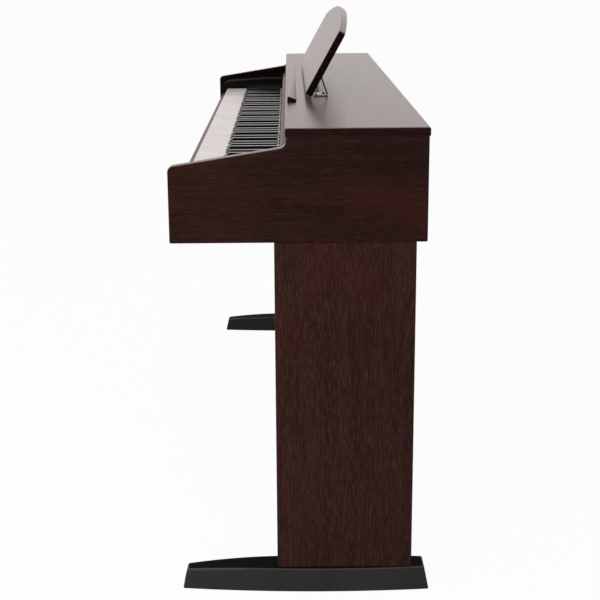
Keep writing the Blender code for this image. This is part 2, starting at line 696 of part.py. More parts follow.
def pedal_unit(looks):
    beam = box("pedal_box", (-BETWEEN_LEGS, PEDAL_BOX_FRONT, PEDAL_BOX_BOTTOM),
               (BETWEEN_LEGS, PEDAL_BOX_REAR, PEDAL_BOX_TOP), looks["wood"])
    centres = [(index - 1) * PEDAL_SPACING for index in range(3)]
    half = PEDAL_NECK / 2 + PEDAL_SIDE_GAP
    slot_rear = PEDAL_PIVOT_Y + PEDAL_TAIL + 0.002
    slots = boxes("pedal_slots", [
        ((middle - half, PEDAL_BOX_FRONT - 0.01, PEDAL_PIVOT_Z - PEDAL_THICKNESS / 2 - PEDAL_SLOT_BELOW),
         (middle + half, slot_rear, PEDAL_PIVOT_Z + PEDAL_THICKNESS / 2 + PEDAL_SLOT_ABOVE))
        for middle in centres])
    boolean(beam, slots, "DIFFERENCE")
    reach = half + PEDAL_PIN_STAND
    for name, middle in zip(("pedal_soft", "pedal_sostenuto", "pedal_damper"), centres):
        pivot = (middle, PEDAL_PIVOT_Y, PEDAL_PIVOT_Z)
        bearing = cylinder(name + "_bearing", pivot, "X", PEDAL_PIN_RADIUS + CLEARANCE, 2 * (reach + CLEARANCE))
        boolean(beam, bearing, "DIFFERENCE")
        outline = rounded(pedal_outline(middle), 4)
        pedal = prism(name, outline, "Z", PEDAL_PIVOT_Z - PEDAL_THICKNESS / 2,
                      PEDAL_PIVOT_Z + PEDAL_THICKNESS / 2, looks["brass"], pivot)
        pin = cylinder(name + "_pin", pivot, "X", PEDAL_PIN_RADIUS, 2 * reach, None, 16)
        boolean(pedal, pin, "UNION")
    adjuster(looks, beam)


def adjuster(looks, beam):
    """The screw foot under the middle of the pedal box, with its stem in a bore."""
    centre = (PEDAL_BOX_FRONT + PEDAL_BOX_REAR) / 2
    bore = cylinder("adjuster_bore", (0.0, centre, PEDAL_BOX_BOTTOM), "Z", ADJUSTER_STEM_RADIUS + CLEARANCE,
                    2 * ADJUSTER_BORE, None, 16)
    boolean(beam, bore, "DIFFERENCE")
    pad = cylinder("pedal_adjuster", (0.0, centre, ADJUSTER_PAD_HEIGHT / 2), "Z", ADJUSTER_PAD_RADIUS,
                   ADJUSTER_PAD_HEIGHT, looks["black_plastic"], 24, (0.0, centre, 0.0))
    stem_top = PEDAL_BOX_BOTTOM + ADJUSTER_ENGAGED
    stem = cylinder("adjuster_stem", (0.0, centre, (ADJUSTER_PAD_HEIGHT / 2 + stem_top) / 2), "Z",
                    ADJUSTER_STEM_RADIUS, stem_top - ADJUSTER_PAD_HEIGHT / 2, None, 16)
    boolean(pad, stem, "UNION")


def pedal_outline(middle):
    neck = PEDAL_NECK / 2
    toe = PEDAL_TOE / 2
    widen = PEDAL_TIP + 0.045
    return [(middle - neck, PEDAL_PIVOT_Y + PEDAL_TAIL, 0), (middle - neck, widen + 0.035, 0.03),
            (middle - toe, widen, 0.02), (middle - toe, PEDAL_TIP, 0.013), (middle + toe, PEDAL_TIP, 0.013),
            (middle + toe, widen, 0.02), (middle + neck, widen + 0.035, 0.03),
            (middle + neck, PEDAL_PIVOT_Y + PEDAL_TAIL, 0)]


def desk_point(up, back):
    """Y and Z of a point on the desk: up its slope from its lower front edge, and back through it."""
    return (DESK_FRONT_EDGE_Y + up * math.cos(DESK_TILT) + back * math.sin(DESK_TILT),
            DESK_FRONT_EDGE_Z + up * math.sin(DESK_TILT) - back * math.cos(DESK_TILT))


def desk_axis():
    return desk_point(0.0, DESK_THICKNESS + HINGE_BARREL_RADIUS + CLEARANCE)


def prop_pivot():
    axis = desk_axis()
    return (axis[0] + PROP_ARM * math.cos(DESK_TILT), axis[1] + PROP_ARM * math.sin(DESK_TILT))


def desk_outline(steps=24):
    """Front view of the desk in its own plane, with an arched top."""
    half = DESK_HALF_LENGTH
    radius = (half ** 2 + DESK_ARCH_RISE ** 2) / (2 * DESK_ARCH_RISE)
    low = DESK_SIDE_HEIGHT + DESK_ARCH_RISE - radius
    corner = fillet((-half, 0.0), (-half, DESK_SIDE_HEIGHT),
                    (-half + 0.02, low + math.sqrt(radius ** 2 - (half - 0.02) ** 2)), DESK_CORNER_RADIUS, 3)
    start = -half + 0.02
    arch = []
    for step in range(steps + 1):
        across = start - 2 * start * step / steps
        arch.append((across, low + math.sqrt(radius ** 2 - across ** 2)))
    other = [(-across, up) for across, up in reversed(corner)]
    return [(-half, 0.0)] + corner + arch + other + [(half, 0.0)]


def music_desk(looks):
    axis = desk_axis()
    origin = (0.0, axis[0], axis[1])
    place = Matrix.Translation((0.0, *desk_point(0.0, DESK_THICKNESS / 2))) @ Matrix.Rotation(DESK_TILT, 4, "X")
    mesh = slab_mesh("music_desk", desk_outline(), DESK_THICKNESS / 2, place)
    desk = add_object("music_desk", mesh, looks["wood"], origin)
    bevel(desk, DESK_EDGE, 2, 40)
    pivot = prop_pivot()
    lug_back = HINGE_BARREL_RADIUS + CLEARANCE + PROP_RADIUS + PROP_LUG_WALL
    for side in (-1, 1):
        inner = PROP_X + PROP_LUG_GAP
        low, high = mirrored_ends(inner, inner + PROP_LUG_WIDTH, side)
        lug = lug_block("prop_lug_%d" % side, low, high, lug_back)
        boolean(desk, lug, "UNION")
        hole = cylinder("prop_hole_%d" % side, ((low + high) / 2, *pivot), "X",
                        PROP_RADIUS + PROP_PIN_CLEARANCE, PROP_LUG_WIDTH + 0.004, None, 12)
        boolean(desk, hole, "DIFFERENCE")
    barrel = [(axis[0] + HINGE_BARREL_RADIUS * math.cos(angle), axis[1] + HINGE_BARREL_RADIUS * math.sin(angle))
              for angle in [math.radians(-60 + 30 * step) for step in range(9)]]
    leaf_top = LID_SEAT + HINGE_LEAF
    outline = [(axis[0] - HINGE_BARREL_RADIUS, LID_SEAT), (axis[0] + HINGE_LEAF_DEPTH, LID_SEAT),
               (axis[0] + HINGE_LEAF_DEPTH, leaf_top), (axis[0] + HINGE_BARREL_RADIUS, leaf_top)] + barrel
    prism("desk_hinge", outline, "X", -HINGE_HALF_LENGTH, HINGE_HALF_LENGTH, looks["black_metal"])
    ledge(looks)


def lug_block(name, low, high, back):
    """A boss on the desk's back around the prop's upper pin, set square to the desk."""
    form = bmesh.new()
    add_block(form, (low, PROP_ARM - PROP_LUG_HALF_HEIGHT, DESK_THICKNESS - 0.002),
              (high, PROP_ARM + PROP_LUG_HALF_HEIGHT, DESK_THICKNESS + back))
    turn = Matrix.Rotation(DESK_TILT, 4, "X")
    flip = Matrix.Diagonal((1.0, 1.0, -1.0, 1.0))
    form.transform(Matrix.Translation((0.0, DESK_FRONT_EDGE_Y, DESK_FRONT_EDGE_Z)) @ turn @ flip)
    return add_object(name, mesh_from(form, name))


def ledge(looks):
    rear = LEDGE_FRONT + LEDGE_DEPTH
    outline = rounded([
        (LEDGE_FRONT, LID_SEAT, 0), (rear, LID_SEAT, 0), (rear, LID_SEAT + LEDGE_REAR_HEIGHT, 0.0010),
        (LEDGE_FRONT, LID_SEAT + LEDGE_FRONT_HEIGHT, LEDGE_RADIUS)], 3)
    prism("page_ledge", outline, "X", -LEDGE_HALF_LENGTH, LEDGE_HALF_LENGTH, looks["wood"])


def props(looks):
    pivot = prop_pivot()
    for end, side in ENDS:
        path = [(side * (PROP_X + PROP_LUG_GAP + PROP_LUG_WIDTH), *pivot), (side * PROP_X, *pivot),
                (side * PROP_X, PROP_FOOT_Y, PROP_FOOT_Z), (side * (PROP_X - PROP_FOOT_PIN), PROP_FOOT_Y, PROP_FOOT_Z)]
        wire("prop_" + end, path, PROP_RADIUS, looks["black_metal"], (side * PROP_X, *pivot))
        low, high = mirrored_ends(PROP_PLATE_INNER, PROP_PLATE_OUTER, side)
        box("prop_plate_" + end, (low, PROP_PLATE_FRONT, LID_SEAT),
            (high, PROP_PLATE_REAR, LID_SEAT + PROP_PLATE_THICKNESS), looks["black_metal"])


def wire(name, path, radius, look, origin):
    """A bent rod through the path's points."""
    curve = bpy.data.curves.new(name, "CURVE")
    curve.dimensions = "3D"
    curve.bevel_depth = radius
    curve.bevel_resolution = 1
    curve.use_fill_caps = True
    spline = curve.splines.new("POLY")
    spline.points.add(len(path) - 1)
    for point, place in zip(spline.points, path):
        point.co = (*place, 1.0)
    drawn = bpy.data.objects.new(name + "_curve", curve)
    bpy.context.scene.collection.objects.link(drawn)
    graph = bpy.context.evaluated_depsgraph_get()
    mesh = bpy.data.meshes.new_from_object(drawn.evaluated_get(graph))
    bpy.data.objects.remove(drawn, do_unlink=True)
    form = bmesh.new()
    form.from_mesh(mesh)
    bpy.data.meshes.remove(mesh)
    bmesh.ops.remove_doubles(form, verts=form.verts, dist=0.000001)
    return add_object(name, mesh_from(form, name), look, origin)


def electronics(looks):
    seat = BED_TOP + CLEARANCE
    for end, side in ENDS:
        centre = (side * SPEAKER_X, SPEAKER_Y, seat)
        speaker("speaker_" + end, centre, looks["black_metal"])
    low = seat + BOARD_STANDOFF
    board = box("main_board", (-BOARD_LENGTH / 2, BOARD_Y - BOARD_DEPTH / 2, low),
                (BOARD_LENGTH / 2, BOARD_Y + BOARD_DEPTH / 2, low + BOARD_THICKNESS), looks["green_board"])
    for across in (-1, 1):
        for along in (-1, 1):
            place = (across * (BOARD_LENGTH / 2 - 0.008), BOARD_Y + along * (BOARD_DEPTH / 2 - 0.008),
                     seat + BOARD_STANDOFF / 2 + BOARD_THICKNESS / 4)
            post = cylinder("standoff_%d_%d" % (across, along), place, "Z", 0.003,
                            BOARD_STANDOFF + BOARD_THICKNESS / 2, None, 12)
            boolean(board, post, "UNION")
    connectors(looks)
    headphones(looks)


def speaker(name, centre, look):
    """A round driver that faces down: rim, basket and magnet as one turned profile."""
    mesh = bpy.data.meshes.new(name)
    form = bmesh.new()
    profile = [(0.012, 0.012), (SPEAKER_RADIUS - 0.008, 0.0), (SPEAKER_RADIUS, 0.0), (SPEAKER_RADIUS, 0.004),
               (SPEAKER_RADIUS - 0.006, 0.006), (0.028, 0.022), (0.028, SPEAKER_HEIGHT), (0.0, SPEAKER_HEIGHT)]
    start = [form.verts.new((radius, 0.0, up)) for radius, up in [(0.0, 0.012)] + profile]
    edges = [form.edges.new(pair) for pair in zip(start, start[1:])]
    bmesh.ops.spin(form, geom=start + edges, cent=(0, 0, 0), axis=(0, 0, 1), angle=2 * math.pi, steps=24,
                   use_merge=True)
    bmesh.ops.remove_doubles(form, verts=form.verts, dist=0.000001)
    bmesh.ops.recalc_face_normals(form, faces=form.faces)
    form.transform(Matrix.Translation(centre))
    form.to_mesh(mesh)
    form.free()
    return add_object(name, mesh, look)


def connectors(looks):
    half = CONNECTOR_LENGTH / 2
    tall = CONNECTOR_HEIGHT / 2
    face = REAR_PANEL_REAR + CLEARANCE
    body = box("connector_panel", (CONNECTOR_X - half - CONNECTOR_FLANGE, face, CONNECTOR_Z - tall - CONNECTOR_FLANGE),
               (CONNECTOR_X + half + CONNECTOR_FLANGE, face + CONNECTOR_FLANGE_THICKNESS,
                CONNECTOR_Z + tall + CONNECTOR_FLANGE), looks["black_plastic"])
    inner = box("connector_body", (CONNECTOR_X - half, face - CONNECTOR_DEPTH, CONNECTOR_Z - tall),
                (CONNECTOR_X + half, face + CONNECTOR_FLANGE_THICKNESS / 2, CONNECTOR_Z + tall))
    boolean(body, inner, "UNION")
    outer = face + CONNECTOR_FLANGE_THICKNESS
    for index in range(4):
        across = CONNECTOR_X + (index - 1.5) * SOCKET_PITCH
        if index == 3:
            tool = box("socket_%d" % index, (across - 0.006, outer - SOCKET_DEPTH, CONNECTOR_Z - 0.0055),
                       (across + 0.006, outer + 0.01, CONNECTOR_Z + 0.0055))
        else:
            radius = 0.0045 if index == 0 else JACK_RADIUS
            tool = cylinder("socket_%d" % index, (across, outer - SOCKET_DEPTH / 2 + 0.005, CONNECTOR_Z), "Y",
                            radius, SOCKET_DEPTH + 0.01, None, 16)
        boolean(body, tool, "DIFFERENCE")


def headphones(looks):
    top = CASE_BOTTOM - CLEARANCE
    half = HEADPHONE_LENGTH / 2
    case = box("headphone_box", (HEADPHONE_X - half, HEADPHONE_FRONT, top - HEADPHONE_HEIGHT),
               (HEADPHONE_X + half, HEADPHONE_FRONT + HEADPHONE_DEPTH, top), looks["black_plastic"])
    for index in range(2):
        across = HEADPHONE_X + (index - 0.5) * HEADPHONE_JACK_PITCH
        jack = cylinder("headphone_jack_%d" % index,
                        (across, HEADPHONE_FRONT + SOCKET_DEPTH / 2 - 0.005, top - HEADPHONE_HEIGHT / 2), "Y",
                        JACK_RADIUS, SOCKET_DEPTH + 0.01, None, 16)
        boolean(case, jack, "DIFFERENCE")


def build():
    clear_scene()
    looks = {
        "wood": material("rosewood_laminate", (0.036, 0.014, 0.012), 0.42),
        "dark_wood": material("dark_board", (0.020, 0.010, 0.009), 0.60),
        "ivory": material("white_key_plastic", (0.80, 0.75, 0.71), 0.30),
        "ebony": material("black_key_plastic", (0.010, 0.010, 0.010), 0.28),
        "black_plastic": material("black_plastic", (0.018, 0.017, 0.017), 0.45),
        "grey_plastic": material("grey_plastic", (0.20, 0.20, 0.20), 0.50),
        "black_metal": material("black_metal", (0.015, 0.015, 0.016), 0.38, 0.6),
        "brass": material("pedal_brass", (0.72, 0.53, 0.22), 0.22, 1.0),
        "green_board": material("circuit_board", (0.020, 0.110, 0.045), 0.50),
    }
    cabinet(looks)
    end_blocks(looks)
    controls(looks)
    name_rail(looks)
    key_cover(looks)
    key_frame(looks)
    keyboard(looks)
    stand(looks)
    pedal_unit(looks)
    music_desk(looks)
    props(looks)
    electronics(looks)


build()
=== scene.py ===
import json
import math

import bmesh
import bpy
from mathutils import Matrix, Vector

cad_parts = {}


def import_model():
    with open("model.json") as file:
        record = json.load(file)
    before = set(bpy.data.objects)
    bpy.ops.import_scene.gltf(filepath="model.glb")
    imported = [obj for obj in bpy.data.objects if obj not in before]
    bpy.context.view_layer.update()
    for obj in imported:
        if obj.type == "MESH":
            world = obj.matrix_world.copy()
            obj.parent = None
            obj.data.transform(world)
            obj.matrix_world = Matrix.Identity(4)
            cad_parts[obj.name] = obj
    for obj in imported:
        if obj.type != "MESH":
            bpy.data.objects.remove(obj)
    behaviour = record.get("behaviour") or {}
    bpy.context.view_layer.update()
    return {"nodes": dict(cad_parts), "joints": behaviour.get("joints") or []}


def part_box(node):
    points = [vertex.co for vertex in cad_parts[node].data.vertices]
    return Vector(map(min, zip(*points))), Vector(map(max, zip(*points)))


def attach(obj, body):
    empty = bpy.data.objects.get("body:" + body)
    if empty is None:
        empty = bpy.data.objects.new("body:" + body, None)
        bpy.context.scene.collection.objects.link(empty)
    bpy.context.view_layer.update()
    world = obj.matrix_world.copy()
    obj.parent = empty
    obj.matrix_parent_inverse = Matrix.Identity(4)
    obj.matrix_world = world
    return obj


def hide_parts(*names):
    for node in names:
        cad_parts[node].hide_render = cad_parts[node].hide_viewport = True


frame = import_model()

# Console digital piano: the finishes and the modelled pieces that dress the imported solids.
# Metres, +X to the treble end, the player at -Y, +Z up.
NODES = frame["nodes"]

# Camera, solved from the photograph's perspective
CAMERA_PLACE = (2.384, -0.0179, 1.0617)
CAMERA_DOWN = 0.218
CAMERA_TURN = -0.0008
CAMERA_ROLL = -0.0081
FOCAL_PIXELS = 1085.98
FRAME_PIXELS = 600
CENTRE_PIXEL = (289.56, 199.98)
SENSOR_WIDTH = 36.0

# Keyboard
KEY_PITCH = 0.0235
KEY_GAP = 0.0010
WHITE_HEAD_LENGTH = 0.051
WHITE_SHOULDER = 0.0004
WHITE_NOSE_RADIUS = 0.0016
WHITE_EDGE = 0.00025
BLACK_WIDTH = 0.0110
BLACK_TOP_WIDTH = 0.0096
BLACK_SIDE_GAP = 0.0012
BLACK_LENGTH = 0.095
BLACK_SLOPE = 0.010
BLACK_ARM_HEIGHT = 0.0072
BLACK_EDGE = 0.0006
FRONT_FELT_BOTTOM = 0.6870
FRONT_FELT_TOP = 0.6884
KEYBOARD_HALF = KEY_PITCH * 26
BOUNDARIES = (1, 2, 4, 5, 6)
LETTERS = "cdefgab"

# Edges and gaps
BOARD_EDGE = 0.0012
LID_EDGE = 0.0035
SLIP_EDGE = 0.0022
DESK_EDGE = 0.0022
CLEARANCE = 0.0003
FELT_THICKNESS = 0.0016

# Cheeks
CHEEK_FRONT_TOP = 0.7414
CHEEK_STEP = -0.0238
CHEEK_SLOPE = 0.1608
CHEEK_STEP_RADIUS = 0.013
CHEEK_NOSE_RADIUS = 0.010
CHEEK_EDGE = 0.0020

# Key blocks
BLOCK_FOOT_REAR = 0.035
BLOCK_TAIL_STEP = 0.012
BLOCK_FRONT_TOP = 0.7335
BLOCK_RISE_END = -0.085
BLOCK_NOSE_RADIUS = 0.020
PANEL_MARGIN = 0.007
PANEL_FRONT = -0.170
PANEL_REAR = -0.075
PANEL_DEPTH = 0.015
BUTTON_WELL = 0.0045

# Feet
FOOT_FRONT = -0.2085
FOOT_REAR = 0.2150
FOOT_MIDDLE = (FOOT_FRONT + FOOT_REAR) / 2
FOOT_HALF_LENGTH = (FOOT_REAR - FOOT_FRONT) / 2
FOOT_CENTRE = 0.672
FOOT_TOE_HALF = 0.0205
FOOT_MIDDLE_HALF = 0.0338
FOOT_HEEL_HALF = 0.0280
FOOT_HEIGHT = 0.0365
FOOT_TOE_HEIGHT = 0.0300
FOOT_ARCH = -0.060
FOOT_SIDE_LEAN = 0.0105
FOOT_END_LEAN = 0.0070
FOOT_EDGE = 0.003
FOOT_ROWS = 16

ENDS = (("bass", -1), ("treble", 1))


# Mesh tools
def cube(form, low, high):
    """Add a block with the given corners and return its vertices."""
    verts = bmesh.ops.create_cube(form, size=1.0)["verts"]
    bmesh.ops.scale(form, vec=Vector(high) - Vector(low), verts=verts)
    bmesh.ops.translate(form, vec=(Vector(low) + Vector(high)) / 2, verts=verts)
    return verts


def slice_at(form, place, normal):
    """Cut new edges where a plane crosses the form."""
    everything = form.verts[:] + form.edges[:] + form.faces[:]
    bmesh.ops.bisect_plane(form, geom=everything, plane_co=place, plane_no=normal)


def sharp_edges(form, angle=40.0):
    limit = math.radians(angle)
    return [edge for edge in form.edges if len(edge.link_faces) == 2 and edge.calc_face_angle(0.0) > limit]


def middle_of(edge):
    return (edge.verts[0].co + edge.verts[1].co) / 2


def reach(edge, axis):
    """How far an edge goes along an axis: 0, 1 or 2 for X, Y or Z."""
    return abs(edge.verts[0].co[axis] - edge.verts[1].co[axis])


def upright_edges(form):
    return [edge for edge in form.edges if reach(edge, 2) > 0.0005]


def round_off(form, edges, radius, segments=3):
    bmesh.ops.bevel(form, geom=edges, offset=radius, offset_type="OFFSET", segments=segments, profile=0.5,
                    affect="EDGES", material=-1, clamp_overlap=True)


def point_outwards(form):
    bmesh.ops.remove_doubles(form, verts=form.verts, dist=0.000002)
    form.normal_update()
    bmesh.ops.recalc_face_normals(form, faces=form.faces)


def piece(name, form, look, body, replaces=(), smooth=35.0, end_look=None):
    """Turn a form into a named piece that rides on a body; its faces towards +X and -X may look different."""
    point_outwards(form)
    mesh = bpy.data.meshes.new(name)
    form.to_mesh(mesh)
    form.free()
    mesh.materials.append(look)
    if end_look:
        mesh.materials.append(end_look)
        for face in mesh.polygons:
            face.material_index = int(abs(face.normal.x) > 0.7)
    mesh.shade_smooth()
    mesh.set_sharp_from_angle(angle=math.radians(smooth))
    made = bpy.data.objects.new(name, mesh)
    bpy.context.scene.collection.objects.link(made)
    even = made.modifiers.new("even_shading", "WEIGHTED_NORMAL")
    even.keep_sharp = True
    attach(made, body)
    if replaces:
        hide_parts(*replaces)
    return made


def coat_faces(made, look, chosen):
    """Give the faces that a test picks another look."""
    made.data.materials.append(look)
    last = len(made.data.materials) - 1
    for face in made.data.polygons:
        if chosen(face.normal):
            face.material_index = last


def block(name, low, high, look, body, replaces=(), radius=BOARD_EDGE, segments=2, end_look=None):
    form = bmesh.new()
    cube(form, low, high)
    round_off(form, list(form.edges), radius, segments)
    return piece(name, form, look, body, replaces, end_look=end_look)


AXIS_TURN = {"X": Matrix(((0, 0, 1, 0), (1, 0, 0, 0), (0, 1, 0, 0), (0, 0, 0, 1))),
             "Y": Matrix(((1, 0, 0, 0), (0, 0, -1, 0), (0, 1, 0, 0), (0, 0, 0, 1))),
             "Z": Matrix.Identity(4)}


def raise_outline(form, outline, plane, low, high):
    """Extrude a flat outline square to an axis; plane X takes (y, z), Y takes (x, z) and Z takes (x, y)."""
    verts = [form.verts.new((across, up, 0.0)) for across, up in outline]
    face = form.faces.new(verts)
    raised = bmesh.ops.extrude_face_region(form, geom=[face])["geom"]
    top = [item for item in raised if isinstance(item, bmesh.types.BMVert)]
    bmesh.ops.translate(form, vec=(0.0, 0.0, high - low), verts=top)
    shift = {"X": (low, 0, 0), "Y": (0, low, 0), "Z": (0, 0, low)}[plane]
    if plane == "Y":
        shift = (0, high, 0)
    bmesh.ops.transform(form, matrix=Matrix.Translation(shift) @ AXIS_TURN[plane], verts=verts + top)
    form.normal_update()
    bmesh.ops.recalc_face_normals(form, faces=form.faces)
    return verts + top


def fillet(before, corner, after, radius, steps=6):
    """Points of an arc that rounds the corner of an outline."""
    corner = Vector(corner)
    back = (Vector(before) - corner).normalized()
    ahead = (Vector(after) - corner).normalized()
    half = back.angle(ahead) / 2
    centre = corner + (back + ahead).normalized() * (radius / math.sin(half))
    first = corner + back * (radius / math.tan(half)) - centre
    last = corner + ahead * (radius / math.tan(half)) - centre
    sweep = first.angle_signed(last)
    return [tuple(centre + Matrix.Rotation(-sweep * step / steps, 2) @ first) for step in range(steps + 1)]


def rounded(corners, steps=6):
    """An outline from (x, y, radius) corners; a radius of 0 keeps a corner sharp."""
    outline = []
    for index, (across, up, radius) in enumerate(corners):
        if radius == 0:
            outline.append((across, up))
        else:
            after = corners[(index + 1) % len(corners)]
            outline.extend(fillet(corners[index - 1][:2], (across, up), after[:2], radius, steps))
    return outline


def turn(form, profile, centre, axis="Z", steps=32):
    """Spin a profile of (radius, height) points about an axis through the centre."""
    verts = [form.verts.new((radius, 0.0, height)) for radius, height in profile]
    edges = [form.edges.new(pair) for pair in zip(verts, verts[1:])]
    bmesh.ops.spin(form, geom=verts + edges, cent=(0, 0, 0), axis=(0, 0, 1), angle=2 * math.pi,
                   steps=steps, use_merge=True)
    found = set(verts)
    grow = list(verts)
    while grow:
        here = grow.pop()
        for edge in here.link_edges:
            other = edge.other_vert(here)
            if other not in found:
                found.add(other)
                grow.append(other)
    place = Matrix.Translation(centre) @ {"X": Matrix.Rotation(math.pi / 2, 4, "Y"),
                                          "Y": Matrix.Rotation(math.pi / 2, 4, "X"),
                                          "-Y": Matrix.Rotation(-math.pi / 2, 4, "X"),
                                          "Z": Matrix.Identity(4)}[axis]
    bmesh.ops.transform(form, matrix=place, verts=list(found))


def bend_rod(form, path, radius, bend, sides=14, steps=6):
    """A round rod along straight runs, with an arc of the bend's radius at each corner."""
    points = [Vector(place) for place in path]
    way = (points[1] - points[0]).normalized()
    ring = bmesh.ops.create_circle(form, cap_ends=False, segments=sides, radius=radius)["verts"]
    facing = way.to_track_quat("Z", "Y").to_matrix().to_4x4()
    bmesh.ops.transform(form, matrix=Matrix.Translation(points[0]) @ facing, verts=ring)
    edges = list({edge for vert in ring for edge in vert.link_edges})
    bmesh.ops.contextual_create(form, geom=edges)
    here = points[0].copy()
    for index in range(1, len(points)):
        way = (points[index] - points[index - 1]).normalized()
        last = index == len(points) - 1
        after = way if last else (points[index + 1] - points[index]).normalized()
        angle = 0.0 if last else way.angle(after)
        reach = bend * math.tan(angle / 2) if angle > 0.001 else 0.0
        stop = points[index] - way * reach
        edges = extrude_ring(form, edges, stop - here)
        here = stop
        if angle > 0.001:
            axis = way.cross(after).normalized()
            centre = here + (after - way * after.dot(way)).normalized() * bend
            edges = spin_ring(form, edges, centre, axis, angle, steps)
            here = points[index] + after * reach
    bmesh.ops.contextual_create(form, geom=edges)


def extrude_ring(form, edges, way):
    made = bmesh.ops.extrude_edge_only(form, edges=edges)["geom"]
    bmesh.ops.translate(form, vec=way, verts=[item for item in made if isinstance(item, bmesh.types.BMVert)])
    return [item for item in made if isinstance(item, bmesh.types.BMEdge)]


def spin_ring(form, edges, centre, axis, angle, steps):
    verts = list({vert for edge in edges for vert in edge.verts})
    made = bmesh.ops.spin(form, geom=verts + edges, cent=centre, axis=axis, angle=angle, steps=steps,
                          use_merge=False)["geom_last"]
    return [item for item in made if isinstance(item, bmesh.types.BMEdge)]


# Shader tools
def wire_up(tree, start, end):
    tree.links.new(start, end)


def add_node(tree, kind, inputs=None, **settings):
    made = tree.nodes.new("ShaderNode" + kind)
    for key, value in settings.items():
        setattr(made, key, value)
    for key, value in (inputs or {}).items():
        if isinstance(value, bpy.types.NodeSocket):
            wire_up(tree, value, made.inputs[key])
        else:
            made.inputs[key].default_value = value
    return made


def new_group(name, inputs, outputs):
    group = bpy.data.node_groups.new(name, "ShaderNodeTree")
    for label, kind, value in inputs:
        made = group.interface.new_socket(label, in_out="INPUT", socket_type="NodeSocket" + kind)
        if value is not None:
            made.default_value = value
    for label, kind in outputs:
        group.interface.new_socket(label, in_out="OUTPUT", socket_type="NodeSocket" + kind)
    return group, group.nodes.new("NodeGroupInput"), group.nodes.new("NodeGroupOutput")


def noise(tree, place, scale, detail=4.0, roughness=0.55, distortion=0.0):
    return add_node(tree, "TexNoise", {"Vector": place, "Scale": scale, "Detail": detail,
                                       "Roughness": roughness, "Distortion": distortion}).outputs["Fac"]


def between(tree, value, low, high, to_low=0.0, to_high=1.0):
    return add_node(tree, "MapRange", {"Value": value, "From Min": low, "From Max": high,
                                       "To Min": to_low, "To Max": to_high}).outputs["Result"]


def stretch(tree, place, scale):
    return add_node(tree, "VectorMath", {0: place, 1: scale}, operation="MULTIPLY").outputs["Vector"]


def mix_colours(tree, share, first, second):
    made = add_node(tree, "Mix", data_type="RGBA")
    for socket, value in zip((made.inputs[0], made.inputs[6], made.inputs[7]), (share, first, second)):
        if isinstance(value, bpy.types.NodeSocket):
            wire_up(tree, value, socket)
        else:
            socket.default_value = value
    return made.outputs[2]


def arithmetic(tree, operation, first, second, clamp=False):
    return add_node(tree, "Math", {0: first, 1: second}, operation=operation, use_clamp=clamp).outputs[0]


def laminate_group():
    """Printed wood grain with darker pores and short embossed flecks whose lighter colour is a painted glint.
    The position's X runs along the grain, in metres.
    """
    group, inside, outside = new_group(
        "laminate_grain",
        [("Position", "Vector", None), ("Dark", "Color", (0.02, 0.01, 0.01, 1)),
         ("Light", "Color", (0.05, 0.02, 0.02, 1)), ("Warm", "Color", (0.08, 0.03, 0.03, 1)),
         ("Warmth", "Float", 0.5), ("Pores_and_glints", "Float", 0.5), ("Roughness", "Float", 0.4)],
        [("Colour", "Color"), ("Roughness", "Float"), ("Height", "Float")])
    place = inside.outputs["Position"]
    fibre = noise(group, stretch(group, place, (12.0, 420.0, 420.0)), 1.0, 5.0, 0.65, 0.5)
    figure = noise(group, stretch(group, place, (3.0, 26.0, 26.0)), 1.0, 4.0, 0.6, 1.2)
    cloud = noise(group, stretch(group, place, (5.0, 11.0, 11.0)), 1.0, 3.0, 0.6)
    flecks = noise(group, stretch(group, place, (60.0, 520.0, 520.0)), 1.0, 2.0, 0.55, 0.3)
    mixed = arithmetic(group, "ADD", arithmetic(group, "MULTIPLY", fibre, 0.58),
                       arithmetic(group, "MULTIPLY", figure, 0.42))
    colour = mix_colours(group, between(group, mixed, 0.40, 0.60), inside.outputs["Dark"],
                         inside.outputs["Light"])
    share = arithmetic(group, "MULTIPLY", between(group, cloud, 0.46, 0.70), inside.outputs["Warmth"], True)
    colour = mix_colours(group, share, colour, inside.outputs["Warm"])
    # Painted glints: the embossed flecks are coloured lighter, as if they caught light from above.
    raised = arithmetic(group, "MULTIPLY", between(group, flecks, 0.53, 0.68), inside.outputs["Pores_and_glints"], True)
    colour = mix_colours(group, raised, colour, (0.052, 0.026, 0.021, 1))
    # Darker pores: the grain's own colour.
    pores = arithmetic(group, "MULTIPLY", between(group, flecks, 0.47, 0.33), inside.outputs["Pores_and_glints"], True)
    colour = mix_colours(group, pores, colour, (0.006, 0.0022, 0.0020, 1))
    wire_up(group, colour, outside.inputs["Colour"])
    shift = between(group, fibre, 0.3, 0.7, -0.02, 0.02)
    wire_up(group, arithmetic(group, "ADD", inside.outputs["Roughness"], shift), outside.inputs["Roughness"])
    height = arithmetic(group, "ADD", arithmetic(group, "MULTIPLY", fibre, 0.35),
                        arithmetic(group, "MULTIPLY", flecks, 0.65))
    wire_up(group, height, outside.inputs["Height"])
    return group


